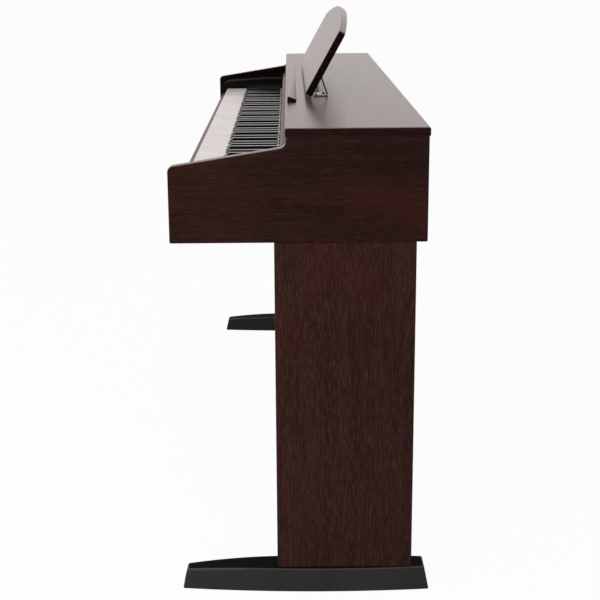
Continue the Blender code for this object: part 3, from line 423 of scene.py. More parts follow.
def moulded_group():
    """Fine moulded texture and faint handling marks for plastic, paint and metal, in metres."""
    group, inside, outside = new_group(
        "moulded_surface",
        [("Position", "Vector", None), ("Colour", "Color", (0.02, 0.02, 0.02, 1)), ("Grain", "Float", 1500.0),
         ("Roughness", "Float", 0.4), ("Marks", "Float", 0.05)],
        [("Colour", "Color"), ("Roughness", "Float"), ("Height", "Float")])
    place = inside.outputs["Position"]
    fine = noise(group, place, inside.outputs["Grain"], 3.0, 0.6)
    cloud = noise(group, place, 14.0, 4.0, 0.6)
    worn = stretch(group, inside.outputs["Colour"], (1.5, 1.5, 1.5))
    wire_up(group, mix_colours(group, between(group, cloud, 0.35, 0.75, 0.0, 0.5), inside.outputs["Colour"],
                               worn), outside.inputs["Colour"])
    shift = arithmetic(group, "MULTIPLY", between(group, cloud, 0.3, 0.7, -1.0, 1.0), inside.outputs["Marks"])
    wire_up(group, arithmetic(group, "ADD", inside.outputs["Roughness"], shift), outside.inputs["Roughness"])
    wire_up(group, fine, outside.inputs["Height"])
    return group


def felt_group():
    """Short matted fibres, in metres."""
    group, inside, outside = new_group(
        "felt_fibres", [("Position", "Vector", None), ("Colour", "Color", (0.1, 0.01, 0.01, 1))],
        [("Colour", "Color"), ("Roughness", "Float"), ("Height", "Float")])
    tangle = noise(group, inside.outputs["Position"], 2200.0, 6.0, 0.75, 1.5)
    wire_up(group, mix_colours(group, between(group, tangle, 0.35, 0.7), inside.outputs["Colour"],
                               (0.0, 0.0, 0.0, 1)), outside.inputs["Colour"])
    wire_up(group, between(group, tangle, 0.0, 1.0, 0.85, 1.0), outside.inputs["Roughness"])
    wire_up(group, tangle, outside.inputs["Height"])
    return group


def brushed_group():
    """Long polishing lines for metal. The position's Y runs along the lines, in metres."""
    group, inside, outside = new_group(
        "polished_metal",
        [("Position", "Vector", None), ("Colour", "Color", (0.7, 0.5, 0.2, 1)), ("Roughness", "Float", 0.2)],
        [("Colour", "Color"), ("Roughness", "Float"), ("Height", "Float")])
    place = inside.outputs["Position"]
    lines = noise(group, stretch(group, place, (1800.0, 30.0, 1800.0)), 1.0, 3.0, 0.6)
    tarnish = noise(group, place, 60.0, 5.0, 0.6)
    wire_up(group, mix_colours(group, between(group, tarnish, 0.45, 0.8, 0.0, 0.35), inside.outputs["Colour"],
                               (0.25, 0.15, 0.06, 1)), outside.inputs["Colour"])
    wire_up(group, arithmetic(group, "ADD", inside.outputs["Roughness"],
                              between(group, tarnish, 0.3, 0.8, 0.0, 0.14)), outside.inputs["Roughness"])
    wire_up(group, lines, outside.inputs["Height"])
    return group


GRAIN = laminate_group()
MOULDED = moulded_group()
FELT = felt_group()
POLISHED = brushed_group()


def look_from(name, group, values, bump, depth, metallic=0.0, specular=0.5, turn_grain=None, sheen=0.0):
    """A material whose colour, roughness and bump come from a surface group."""
    made = bpy.data.materials.new(name)
    made.use_nodes = True
    tree = made.node_tree
    shader = tree.nodes["Principled BSDF"]
    place = add_node(tree, "TexCoord").outputs["Object"]
    if turn_grain:
        place = add_node(tree, "Mapping", {"Vector": place, "Rotation": turn_grain}).outputs["Vector"]
    surface = tree.nodes.new("ShaderNodeGroup")
    surface.node_tree = group
    wire_up(tree, place, surface.inputs["Position"])
    for key, value in values.items():
        surface.inputs[key].default_value = value
    relief = add_node(tree, "Bump", {"Strength": bump, "Distance": depth,
                                     "Height": surface.outputs["Height"]})
    wire_up(tree, surface.outputs["Colour"], shader.inputs["Base Color"])
    wire_up(tree, surface.outputs["Roughness"], shader.inputs["Roughness"])
    wire_up(tree, relief.outputs["Normal"], shader.inputs["Normal"])
    shader.inputs["Metallic"].default_value = metallic
    shader.inputs["Specular IOR Level"].default_value = specular
    shader.inputs["Sheen Weight"].default_value = sheen
    return made


ALONG_X = None
ALONG_Y = (0.0, 0.0, math.pi / 2)
ALONG_Z = (0.0, math.pi / 2, 0.0)
TEXTURED = (0.20, 0.0003)
SMOOTH = (0.03, 0.0001)
ROSEWOOD = {"Dark": (0.0088, 0.0028, 0.0020, 1), "Light": (0.0215, 0.0078, 0.0058, 1),
            "Warm": (0.037, 0.0085, 0.0065, 1), "Warmth": 0.55, "Pores_and_glints": 0.26, "Roughness": 0.40}
LEG_WOOD = dict(ROSEWOOD, Dark=(0.018, 0.0058, 0.0044, 1), Light=(0.036, 0.0135, 0.0105, 1), Pores_and_glints=0.60)
# Lighter and warmer than the side wood: painted sheen for the tops and for every rail, edge and board that
# shares this wood.
TOP_WOOD_PAINTED_SHEEN = dict(ROSEWOOD, Dark=(0.036, 0.0090, 0.0072, 1), Light=(0.080, 0.023, 0.018, 1),
                Warm=(0.095, 0.025, 0.019, 1), Pores_and_glints=0.25, Roughness=0.25)
END_WOOD = dict(ROSEWOOD, Dark=(0.0062, 0.0020, 0.0016, 1), Light=(0.0150, 0.0048, 0.0040, 1), Warmth=0.1)
# Darkest wood: painted shade on the cheeks' inner faces beside the keys, and the darker ends of the desk and
# the ledge.
DARK_END_AND_SHADE_WOOD = dict(END_WOOD, Dark=(0.0028, 0.0010, 0.0008, 1), Light=(0.0080, 0.0027, 0.0022, 1), Warmth=0.0)
# The rail wood keeps the top wood's painted sheen colours.
RAIL_WOOD = dict(TOP_WOOD_PAINTED_SHEEN, Roughness=0.36)
BACK_WOOD = dict(ROSEWOOD, Pores_and_glints=0.1, Roughness=0.6)
DULL = 0.05
GLOSSY = 0.5


def plastic(name, colour, roughness, grain=1500.0, bump=0.15, specular=0.5, marks=0.05):
    values = {"Colour": (*colour, 1), "Grain": grain, "Roughness": roughness, "Marks": marks}
    return look_from(name, MOULDED, values, bump, 0.0002, 0.0, specular)


def metal(name, colour, roughness, grain=2500.0, bump=0.1):
    values = {"Colour": (*colour, 1), "Grain": grain, "Roughness": roughness, "Marks": 0.05}
    return look_from(name, MOULDED, values, bump, 0.0001, 1.0)


LOOKS = {
    "side_wood": look_from("rosewood_side", GRAIN, ROSEWOOD, *TEXTURED, 0.0, DULL, ALONG_Y),
    "side_edge": look_from("rosewood_side_edge", GRAIN, TOP_WOOD_PAINTED_SHEEN, *SMOOTH, 0.0, GLOSSY, ALONG_Y),
    "leg_wood": look_from("rosewood_leg", GRAIN, LEG_WOOD, 0.25, 0.0004, 0.0, DULL, ALONG_Z),
    "top_wood_painted_sheen": look_from("rosewood_top_painted_sheen", GRAIN, TOP_WOOD_PAINTED_SHEEN, *SMOOTH, 0.0, GLOSSY, ALONG_X),
    "rail_wood": look_from("rosewood_rail", GRAIN, RAIL_WOOD, *SMOOTH, 0.0, 0.22, ALONG_X),
    "end_wood": look_from("rosewood_end", GRAIN, END_WOOD, 0.15, 0.0002, 0.0, DULL, ALONG_Y),
    "dark_end_and_shade_wood": look_from("rosewood_dark_end_and_painted_shade", GRAIN, DARK_END_AND_SHADE_WOOD, 0.10, 0.0002, 0.0, 0.03, ALONG_Y),
    "board": look_from("dark_board", GRAIN, BACK_WOOD, *TEXTURED, 0.0, DULL),
    "white": plastic("white_key_plastic", (0.90, 0.82, 0.765), 0.24, 1800.0, 0.006, 0.5, marks=0.012),
    "black": plastic("black_key_plastic", (0.004, 0.004, 0.004), 0.12, 1400.0, 0.002, 0.40, marks=0.01),
    # A darker, duller copy of the black key plastic for the keys' sides: painted shade between the keys.
    "black_shaded_side": plastic("black_key_side", (0.0030, 0.0030, 0.0030), 0.45, 1400.0, 0.01, 0.04, marks=0.02),
    "case": plastic("black_plastic", (0.0058, 0.0053, 0.0051), 0.70, 1600.0, 0.05, 0.04),
    "foot": plastic("foot_plastic", (0.0270, 0.0250, 0.0245), 0.65, 1300.0, 0.10, 0.03),
    # A glossier, slightly lighter copy of the foot plastic; its lighter colour is a painted highlight line.
    "foot_ridge": plastic("foot_ridge_painted_highlight", (0.030, 0.028, 0.0275), 0.34, 1300.0, 0.05, 0.30),
    "grey": plastic("grey_plastic", (0.17, 0.17, 0.17), 0.5, 1500.0, 0.1),
    "black_metal": plastic("black_metal", (0.0040, 0.0038, 0.0038), 0.42, 2500.0, 0.05, 0.12),
    "zinc": metal("zinc_plate", (0.80, 0.78, 0.75), 0.36),
    "steel": metal("screw_steel", (0.45, 0.45, 0.46), 0.32),
    "brass": look_from("pedal_brass", POLISHED, {"Colour": (0.72, 0.50, 0.20, 1), "Roughness": 0.16}, 0.05,
                       0.0001, 1.0),
    "felt": look_from("felt", FELT, {"Colour": (0.012, 0.011, 0.011, 1)}, 0.6, 0.0006, 0.0, 0.2, sheen=0.4),
    "red_felt": look_from("red_felt", FELT, {"Colour": (0.12, 0.008, 0.010, 1)}, 0.6, 0.0006, 0.0, 0.2,
                          sheen=0.4),
    "green": plastic("circuit_board", (0.012, 0.085, 0.035), 0.35, 900.0, 0.1),
    "cone": plastic("speaker_cone", (0.030, 0.029, 0.028), 0.75, 1200.0, 0.5),
}


# Cabinet
def lid():
    low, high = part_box("lid")
    block("lid_board", low, high, LOOKS["top_wood_painted_sheen"], "cabinet", ["lid"], LID_EDGE, 4,
          LOOKS["end_wood"])


def cheeks():
    """Side panels with an arm that slopes beside the keys and a rounded step under the lid."""
    for end, side in ENDS:
        low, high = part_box("cheek_" + end)
        step_bottom = CHEEK_FRONT_TOP + (CHEEK_STEP - low.y) * CHEEK_SLOPE
        outline = rounded([
            (low.y, low.z, 0), (high.y, low.z, 0), (high.y, high.z, 0), (CHEEK_STEP, high.z, 0),
            (CHEEK_STEP, step_bottom, CHEEK_STEP_RADIUS), (low.y, CHEEK_FRONT_TOP, CHEEK_NOSE_RADIUS)], 8)
        form = bmesh.new()
        raise_outline(form, outline, "X", low.x, high.x)
        rim = [edge for edge in sharp_edges(form) if middle_of(edge).z < high.z - 0.001]
        round_off(form, rim, CHEEK_EDGE, 3)
        made = piece("cheek_panel_" + end, form, LOOKS["side_wood"], "cabinet", ["cheek_" + end])
        # Up-facing rims take the lighter, glossier top wood: a painted lit edge.
        coat_faces(made, LOOKS["side_edge"], lambda normal: normal.z > 0.5)
        # Faces turned towards the keys take the darkest wood: painted shade.
        coat_faces(made, LOOKS["dark_end_and_shade_wood"], lambda normal: normal.x * side < -0.7)


def slip():
    low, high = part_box("key_slip")
    block("key_slip_rail", low, high, LOOKS["rail_wood"], "cabinet", ["key_slip"], SLIP_EDGE, 3)


def sink(form, low, high, floor):
    """Sink a rectangle of the top, between two (x, y) corners, to a level floor."""
    for axis, normal in ((0, (1, 0, 0)), (1, (0, 1, 0))):
        for limit in (low[axis], high[axis]):
            faces = [face for face in form.faces if face.normal.z > 0.9]
            geom = faces + list({edge for face in faces for edge in face.edges})
            geom += list({vert for face in faces for vert in face.verts})
            place = (limit, 0, 0) if axis == 0 else (0, limit, 0)
            bmesh.ops.bisect_plane(form, geom=geom, plane_co=place, plane_no=normal)
            form.normal_update()
    middles = {face: face.calc_center_median() for face in form.faces if face.normal.z > 0.9}
    faces = [face for face, middle in middles.items()
             if low[0] < middle.x < high[0] and low[1] < middle.y < high[1]]
    sunk = bmesh.ops.extrude_face_region(form, geom=faces)["geom"]
    for item in sunk:
        if isinstance(item, bmesh.types.BMVert):
            item.co.z = floor
    bmesh.ops.delete(form, geom=faces, context="FACES")
    form.normal_update()


def key_blocks():
    for end, side in ENDS:
        low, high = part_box("key_block_" + end)
        slip_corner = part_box("key_slip")[1]
        foot_front, slip_top = slip_corner.y + CLEARANCE, slip_corner.z + CLEARANCE
        tail_bottom = high.z - BLOCK_TAIL_STEP
        outline = rounded([
            (foot_front, low.z, 0), (BLOCK_FOOT_REAR, low.z, 0), (BLOCK_FOOT_REAR, tail_bottom, 0),
            (high.y, tail_bottom, 0), (high.y, high.z, 0), (BLOCK_RISE_END, high.z, 0),
            (low.y, BLOCK_FRONT_TOP, BLOCK_NOSE_RADIUS), (low.y, slip_top, 0), (foot_front, slip_top, 0)], 8)
        form = bmesh.new()
        raise_outline(form, outline, "X", low.x, high.x)
        rim = [edge for edge in sharp_edges(form) if reach(edge, 0) < 0.0001]
        round_off(form, rim, BOARD_EDGE, 3)
        form.normal_update()
        if side > 0:
            floor = high.z - PANEL_DEPTH
            sink(form, (low.x + PANEL_MARGIN, PANEL_FRONT), (high.x - PANEL_MARGIN, PANEL_REAR), floor)
            button_low, button_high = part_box("power_button")
            sink(form, (button_low.x - CLEARANCE, button_low.y - CLEARANCE),
                 (button_high.x + CLEARANCE, button_high.y + CLEARANCE), floor - BUTTON_WELL)
        piece("key_block_shell_" + end, form, LOOKS["case"], "cabinet", ["key_block_" + end])


def name_rail():
    low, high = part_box("name_rail")
    block("name_rail_bar", low, high, LOOKS["case"], "cabinet", ["name_rail"], 0.0010, 2)
    block("name_rail_felt", (low.x + 0.001, low.y + 0.001, low.z - FELT_THICKNESS),
          (high.x - 0.001, high.y - 0.004, low.z), LOOKS["felt"], "cabinet", (), 0.0004, 1)


def cover():
    low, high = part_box("cover_rail")
    form = bmesh.new()
    outline = rounded([(low.y, low.z, 0.0015), (high.y, low.z, 0), (high.y, high.z, 0.0020),
                       (low.y, high.z, 0.0045)], 6)
    raise_outline(form, outline, "X", low.x, high.x)
    piece("cover_rail_bar", form, LOOKS["rail_wood"], "cover", ["cover_rail"], 30.0,
          LOOKS["end_wood"])
    low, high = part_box("key_cover")
    block("cover_panel", low, high, LOOKS["top_wood_painted_sheen"], "cover", ["key_cover"], 0.0006, 1)


# Keyboard
def octave_left(octave):
    """The left side of an octave's lowest white key; octave 4 holds the middle c."""
    return -KEYBOARD_HALF + 2 * KEY_PITCH + (octave - 1) * 7 * KEY_PITCH


def black_centre(octave, boundary):
    """The middle of the black key that stands on a boundary between two white keys of an octave."""
    body = BLACK_WIDTH + 2 * BLACK_SIDE_GAP
    first, whites, blacks = (0, 3, 2) if boundary < 3 else (3, 4, 3)
    tail = (whites * KEY_PITCH - blacks * body) / whites
    index = boundary - first
    return octave_left(octave) + first * KEY_PITCH + index * tail + (index - 0.5) * body


def run_of(octave):
    return min(max(octave, 1), 7)


def white_body(octave, index):
    return "key_%s4_body" % LETTERS[index] if octave == 4 else "white_keys_%d_body" % run_of(octave)


def black_body(octave, boundary):
    return ("key_%s_sharp4_body" % LETTERS[boundary - 1] if octave == 4
            else "black_keys_%d_body" % run_of(octave))


def white_key(octave, index, replaced):
    """A white key with a wide head and a tail that leaves room for the black keys beside it."""
    (_, front, bottom), (_, rear, top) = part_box("key_c4")
    left = octave_left(octave) + index * KEY_PITCH
    head = (left + KEY_GAP / 2, left + KEY_PITCH - KEY_GAP / 2)
    tail = list(head)
    half = BLACK_WIDTH / 2 + BLACK_SIDE_GAP
    if index in BOUNDARIES and (octave, index) != (0, 5):
        tail[0] = black_centre(octave, index) + half
    if index + 1 in BOUNDARIES and (octave, index) != (8, 0):
        tail[1] = black_centre(octave, index + 1) - half
    form = bmesh.new()
    cube(form, (head[0], front, bottom), (head[1], rear, top))
    shoulder = front + WHITE_HEAD_LENGTH
    for place in (shoulder, shoulder + WHITE_SHOULDER):
        slice_at(form, (0, place, 0), (0, 1, 0))
    for vert in form.verts:
        if vert.co.y > shoulder + WHITE_SHOULDER / 2:
            vert.co.x = tail[0] if vert.co.x < left + KEY_PITCH / 2 else tail[1]
    form.normal_update()
    front_top = [edge for edge in form.edges
                 if all(abs(vert.co.z - top) < 1e-6 and abs(vert.co.y - front) < 1e-6 for vert in edge.verts)]
    round_off(form, front_top, WHITE_NOSE_RADIUS, 3)
    form.normal_update()
    rim = [edge for edge in sharp_edges(form, 50) if max(vert.co.z for vert in edge.verts) > bottom + 0.001
           and min(vert.co.y for vert in edge.verts) < rear - 0.001]
    round_off(form, rim, WHITE_EDGE, 2)
    piece("white_%s%d" % (LETTERS[index], octave), form, LOOKS["white"], white_body(octave, index),
          replaced, 50.0)


def black_key(octave, boundary, replaced):
    """A black key's head, narrower at the top and sloped in front, with a low arm to its pivot."""
    low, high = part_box("key_c_sharp4")
    key_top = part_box("key_c4")[1].z
    centre = black_centre(octave, boundary)
    front = low.y
    head_rear = front + BLACK_LENGTH
    arm_top = low.z + BLACK_ARM_HEIGHT
    half = BLACK_WIDTH / 2
    form = bmesh.new()
    cube(form, (centre - half, front, low.z), (centre + half, head_rear, high.z))
    for place in (arm_top, key_top):
        slice_at(form, (0, 0, place), (0, 0, 1))
    arm = [face for face in form.faces if face.normal.y > 0.9 and face.calc_center_median().z < arm_top]
    drawn = bmesh.ops.extrude_discrete_faces(form, faces=arm)["faces"]
    pulled = {vert for face in drawn for vert in face.verts}
    bmesh.ops.translate(form, vec=(0, high.y - head_rear, 0), verts=list(pulled))
    for vert in form.verts:
        if vert.co.z > high.z - 0.00001:
            vert.co.x = centre + (vert.co.x - centre) * BLACK_TOP_WIDTH / BLACK_WIDTH
            if vert.co.y < front + 0.001:
                vert.co.y += BLACK_SLOPE
    form.normal_update()
    rim = [edge for edge in sharp_edges(form, 25)
           if min(vert.co.z for vert in edge.verts) > key_top - 0.0001
           and max(vert.co.z for vert in edge.verts) > key_top + 0.001
           and min(vert.co.y for vert in edge.verts) < head_rear - 0.001]
    round_off(form, rim, BLACK_EDGE, 2)
    # The sides take the darker, duller copy: painted shade.
    piece("black_%s_sharp%d" % (LETTERS[boundary - 1], octave), form, LOOKS["black"],
          black_body(octave, boundary), replaced, 50.0, LOOKS["black_shaded_side"])


def keyboard():
    stood_for = set()

    def first_of(node):
        if node in stood_for:
            return []
        stood_for.add(node)
        return [node]

    whites = [(0, 5), (0, 6)] + [(octave, index) for octave in range(1, 8) for index in range(7)] + [(8, 0)]
    blacks = [(0, 6)] + [(octave, boundary) for octave in range(1, 8) for boundary in BOUNDARIES]
    for octave, index in whites:
        node = white_body(octave, index)[:-len("_body")]
        white_key(octave, index, first_of(node))
    for octave, boundary in blacks:
        node = black_body(octave, boundary)[:-len("_body")]
        black_key(octave, boundary, first_of(node))


def key_felts():
    """The strip of felt on the front rail that the white keys land on."""
    low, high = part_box("key_frame")
    block("front_rail_felt", (low.x + 0.002, low.y + 0.003, FRONT_FELT_BOTTOM),
          (high.x - 0.002, low.y + 0.017, FRONT_FELT_TOP), LOOKS["red_felt"], "cabinet", (),
          0.0004, 1)


# Music desk
DESK_TILT = math.radians(61.2)
DESK_FOOT = (0.0116, 0.8150)
DESK_THICKNESS = 0.0136
DESK_HALF = 0.345
DESK_SIDE = 0.1325
DESK_RISE = 0.0344
DESK_CORNER = 0.014
ARCH_STEPS = 40
PROP_ARM = 0.0370
PROP_ACROSS = 0.280
PROP_RADIUS = 0.0014
PROP_FOOT = (0.0552, 0.80648)
LUG_ACROSS = PROP_ACROSS + 0.0026
LUG_WIDTH = 0.009
LUG_HEIGHT = 0.0049
LUG_PLATE_WIDTH = 0.024
LUG_PLATE_THICKNESS = 0.0010
HINGE_RADIUS = 0.0020
HINGE_LEAF_THICKNESS = 0.0012
HINGE_KNUCKLES = 25
HINGE_SCREWS = 9
RIB_RADIUS = 0.0012
RIB_INNER_X = 0.2360
PLATE_SCREW_X = 0.2600
RIB_FRONT_Y = 0.0338
RIB_REAR_Y = 0.0552
PLATE_SCREW_Y = 0.0486


def desk_place():
    """From the desk's own plane (across, up, back) to the row frame."""
    turned = Matrix.Rotation(DESK_TILT, 4, "X") @ Matrix.Diagonal((1.0, 1.0, -1.0, 1.0))
    return Matrix.Translation((0.0, *DESK_FOOT)) @ turned


def music_desk():
    """A board with an arched top, drawn in its own plane and tilted onto its foot."""
    radius = (DESK_HALF ** 2 + DESK_RISE ** 2) / (2 * DESK_RISE)
    centre = DESK_SIDE + DESK_RISE - radius
    start = DESK_HALF - DESK_CORNER

    def arch_height(across):
        return centre + math.sqrt(radius ** 2 - across ** 2)

    tip = (DESK_HALF, arch_height(DESK_HALF))
    corner = fillet((DESK_HALF, 0.0), tip, (start, arch_height(start)), 0.010, 5)
    outline = [(DESK_HALF, 0.0)] + corner
    for step in range(1, ARCH_STEPS):
        across = start - 2 * start * step / ARCH_STEPS
        outline.append((across, arch_height(across)))
    outline += [(-across, up) for across, up in reversed(corner)] + [(-DESK_HALF, 0.0)]
    form = bmesh.new()
    raise_outline(form, outline, "Z", 0.0, DESK_THICKNESS)
    round_off(form, sharp_edges(form), DESK_EDGE, 3)
    form.transform(desk_place())
    piece("desk_board", form, LOOKS["top_wood_painted_sheen"], "desk", ["music_desk"],
          end_look=LOOKS["dark_end_and_shade_wood"])


def desk_brackets():
    """Lugs on plates on the desk's back, which hold the props' upper pins."""
    for end, side in ENDS:
        low, high = sorted((side * LUG_ACROSS, side * (LUG_ACROSS + LUG_WIDTH)))
        form = bmesh.new()
        cube(form, (low, PROP_ARM - 0.004, DESK_THICKNESS - 0.0005),
             (high, PROP_ARM + 0.004, DESK_THICKNESS + LUG_HEIGHT))
        outer = [edge for edge in form.edges if middle_of(edge).z > DESK_THICKNESS + LUG_HEIGHT - 0.0001
                 and reach(edge, 0) > 0.001]
        round_off(form, outer, 0.0030, 4)
        form.transform(desk_place())
        piece("prop_lug_" + end, form, LOOKS["black_metal"], "desk", (), 40.0)
        form = bmesh.new()
        low, high = sorted((side * LUG_ACROSS, side * (LUG_ACROSS + LUG_PLATE_WIDTH)))
        cube(form, (low, PROP_ARM - 0.007, DESK_THICKNESS),
             (high, PROP_ARM + 0.007, DESK_THICKNESS + LUG_PLATE_THICKNESS))
        round_off(form, upright_edges(form), 0.003, 4)
        form.transform(desk_place())
        piece("prop_lug_plate_" + end, form, LOOKS["black_metal"], "desk", (), 40.0)


def hinge():
    """A long hinge: a leaf on the lid, knuckles that belong to the lid and the desk by turns, and screws."""
    low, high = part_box("desk_hinge")
    centre_y, centre_z = low.y + HINGE_RADIUS, high.z - HINGE_RADIUS
    leaf_top = low.z + HINGE_LEAF_THICKNESS
    form = bmesh.new()
    cube(form, (low.x, centre_y, low.z), (high.x, high.y, leaf_top))
    round_off(form, [edge for edge in upright_edges(form) if middle_of(edge).y > centre_y + 0.002], 0.003, 4)
    piece("hinge_leaf", form, LOOKS["black_metal"], "cabinet", ["desk_hinge"], 40.0)
    pitch = (high.x - low.x) / HINGE_KNUCKLES
    wide, chamfer = pitch - 0.0004, 0.0003
    for kind, first, body in (("lid", 0, "cabinet"), ("desk", 1, "desk")):
        form = bmesh.new()
        for index in range(first, HINGE_KNUCKLES, 2):
            turn(form, [(0.0, 0.0), (HINGE_RADIUS - chamfer, 0.0), (HINGE_RADIUS, chamfer),
                        (HINGE_RADIUS, wide - chamfer), (HINGE_RADIUS - chamfer, wide), (0.0, wide)],
                 (low.x + index * pitch + 0.0002, centre_y, centre_z), "X", 16)
        piece("hinge_knuckles_" + kind, form, LOOKS["black_metal"], body, (), 40.0)
    form = bmesh.new()
    for index in range(HINGE_SCREWS):
        across = low.x + (index + 0.5) * (high.x - low.x) / HINGE_SCREWS
        screw_head(form, (across, centre_y + 0.0095, leaf_top), 0.0026, "Z")
    piece("hinge_screws", form, LOOKS["steel"], "cabinet", (), 40.0)


def screw_head(form, place, radius, axis="Z"):
    """A low domed screw head with a round recess."""
    turn(form, [(0.0, -0.0002), (radius, -0.0002), (radius, 0.0002), (radius * 0.8, 0.0006),
                (radius * 0.42, 0.0008), (radius * 0.36, 0.0003), (0.0, 0.0002)], place, axis, 14)


def prop_parts():
    """The plates on the lid, the ribs and stud on each, and the bent rods that hold the desk up."""
    for end, side in ENDS:
        low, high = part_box("prop_plate_" + end)
        form = bmesh.new()
        cube(form, low, high)
        round_off(form, upright_edges(form), 0.003, 4)
        form.normal_update()
        rim = [edge for edge in sharp_edges(form) if middle_of(edge).z > high.z - 0.0001]
        round_off(form, rim, 0.0009, 3)
        made = piece("lid_plate_" + end, form, LOOKS["black_metal"], "cabinet",
                     ["prop_plate_" + end], 40.0)
        coat_faces(made, LOOKS["zinc"], lambda normal: normal.z > 0.95)
        form = bmesh.new()
        for along, outer in ((RIB_FRONT_Y, 0.2860), (RIB_REAR_Y, 0.2700)):
            up = high.z + RIB_RADIUS - CLEARANCE
            bend_rod(form, [(side * RIB_INNER_X, along, up), (side * outer, along, up)], RIB_RADIUS, 0.001,
                     12)
        turn(form, [(0.0, -0.0002), (0.0034, -0.0002), (0.0034, 0.0014), (0.0025, 0.0023), (0.0, 0.0025)],
             (side * PLATE_SCREW_X, PLATE_SCREW_Y, high.z), "Z", 18)
        piece("lid_plate_ribs_" + end, form, LOOKS["black_metal"], "cabinet", (), 40.0)
        pivot = next(joint["pos_m"] for joint in frame["joints"] if joint["name"] == "prop_%s_fold" % end)
        path = [(side * (LUG_ACROSS + LUG_WIDTH), *pivot[1:]), (side * PROP_ACROSS, *pivot[1:]),
                (side * PROP_ACROSS, *PROP_FOOT), (side * (PROP_ACROSS - 0.008), *PROP_FOOT)]
        form = bmesh.new()
        bend_rod(form, path, PROP_RADIUS, 0.0022)
        piece("prop_rod_" + end, form, LOOKS["black_metal"], "prop_%s_swing" % end,
              ["prop_" + end], 50.0)


def ledge():
    low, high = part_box("page_ledge")
    form = bmesh.new()
    outline = rounded([(low.y, low.z, 0), (high.y, low.z, 0), (high.y, low.z + 0.0040, 0.0010),
                       (low.y, low.z + 0.0106, 0.0030)], 6)
    raise_outline(form, outline, "X", low.x, high.x)
    round_off(form, [edge for edge in sharp_edges(form) if reach(edge, 0) < 0.0001], 0.0008, 2)
    piece("ledge_strip", form, LOOKS["top_wood_painted_sheen"], "cabinet", ["page_ledge"], 30.0,
          LOOKS["dark_end_and_shade_wood"])


# Stand
def legs():
    for end, side in ENDS:
        low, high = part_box("leg_" + end)
        block("leg_board_" + end, low, high, LOOKS["leg_wood"], "cabinet", ["leg_" + end],
              0.0014, 3)


def foot_half_width(along):
    """Half of a foot's width at the floor, on a parabola through its toe, middle and heel."""
    share = (along - FOOT_MIDDLE) / FOOT_HALF_LENGTH
    bow = (FOOT_HEEL_HALF + FOOT_TOE_HALF) / 2 - FOOT_MIDDLE_HALF
    return FOOT_MIDDLE_HALF + (FOOT_HEEL_HALF - FOOT_TOE_HALF) / 2 * share + bow * share ** 2


def foot_height(along):
    """The height of a foot's top: level under the leg, falling in an arc to the toe."""
    share = max(0.0, (FOOT_ARCH - along) / (FOOT_ARCH - FOOT_FRONT))
    return FOOT_HEIGHT - (FOOT_HEIGHT - FOOT_TOE_HEIGHT) * share ** 2


def feet():
    """Moulded feet, bowed on both sides, with walls that lean in and a top that falls to the toe."""
    for end, side in ENDS:
        form = bmesh.new()
        cube(form, (-1.0, FOOT_FRONT, 0.0), (1.0, FOOT_REAR, 1.0))
        for row in range(1, FOOT_ROWS):
            slice_at(form, (0, FOOT_FRONT + (FOOT_REAR - FOOT_FRONT) * row / FOOT_ROWS, 0), (0, 1, 0))
        for vert in form.verts:
            half = foot_half_width(vert.co.y)
            if vert.co.z > 0.5:
                half -= FOOT_SIDE_LEAN
                vert.co.y = FOOT_MIDDLE + (vert.co.y - FOOT_MIDDLE) * (1 - FOOT_END_LEAN / FOOT_HALF_LENGTH)
                vert.co.z = foot_height(vert.co.y)
            vert.co.x = side * FOOT_CENTRE + half * vert.co.x
        form.normal_update()
        rim = [edge for edge in sharp_edges(form, 30) if max(vert.co.z for vert in edge.verts) > 0.01]
        round_off(form, rim, FOOT_EDGE, 4)
        made = piece("foot_shell_" + end, form, LOOKS["foot"], "cabinet", ["foot_" + end],
                     40.0)
        # The foot's top takes the darker black plastic: painted shade under the leg.
        coat_faces(made, LOOKS["case"], lambda normal: normal.z > 0.9)
        # Slanted top edges take the glossier, lighter plastic: a painted highlight line.
        coat_faces(made, LOOKS["foot_ridge"], lambda normal: 0.45 < normal.z <= 0.9)


# Pedals
PEDAL_NECK = 0.010
PEDAL_EDGE = 0.0022
TRIM_HALF = 0.0150
TRIM_BOTTOM = 0.0505
TRIM_TOP = 0.0835
TRIM_RADIUS = 0.004
TRIM_THICKNESS = 0.0015
TRIM_BORDER = 0.0032
THREAD_RADIUS = 0.0050
THREAD_DEPTH = 0.0006
THREAD_PITCH = 0.0016


def pedals():
    """Brass levers: a wide rounded toe that narrows in two curves to the neck."""
    for name in ("soft", "sostenuto", "damper"):
        low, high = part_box("pedal_" + name)
        centre, toe = (low.x + high.x) / 2, (high.x - low.x) / 2
        half = rounded([(PEDAL_NECK, high.y, 0), (PEDAL_NECK, low.y + 0.080, 0.030),
                        (toe, low.y + 0.045, 0.020), (toe, low.y, 0.013), (0.0, low.y, 0)], 7)[:-1]
        outline = [(centre + across, along) for across, along in half]
        outline += [(centre - across, along) for across, along in reversed(half)]
        form = bmesh.new()
        raise_outline(form, outline, "Z", low.z, high.z)
        rim = [edge for edge in sharp_edges(form) if edge.verts[0].co.y < high.y - 0.002]
        round_off(form, rim, PEDAL_EDGE, 4)
        piece("pedal_lever_" + name, form, LOOKS["brass"], name + "_pedal",
              ["pedal_" + name], 40.0)
        pedal_trim(name, centre)


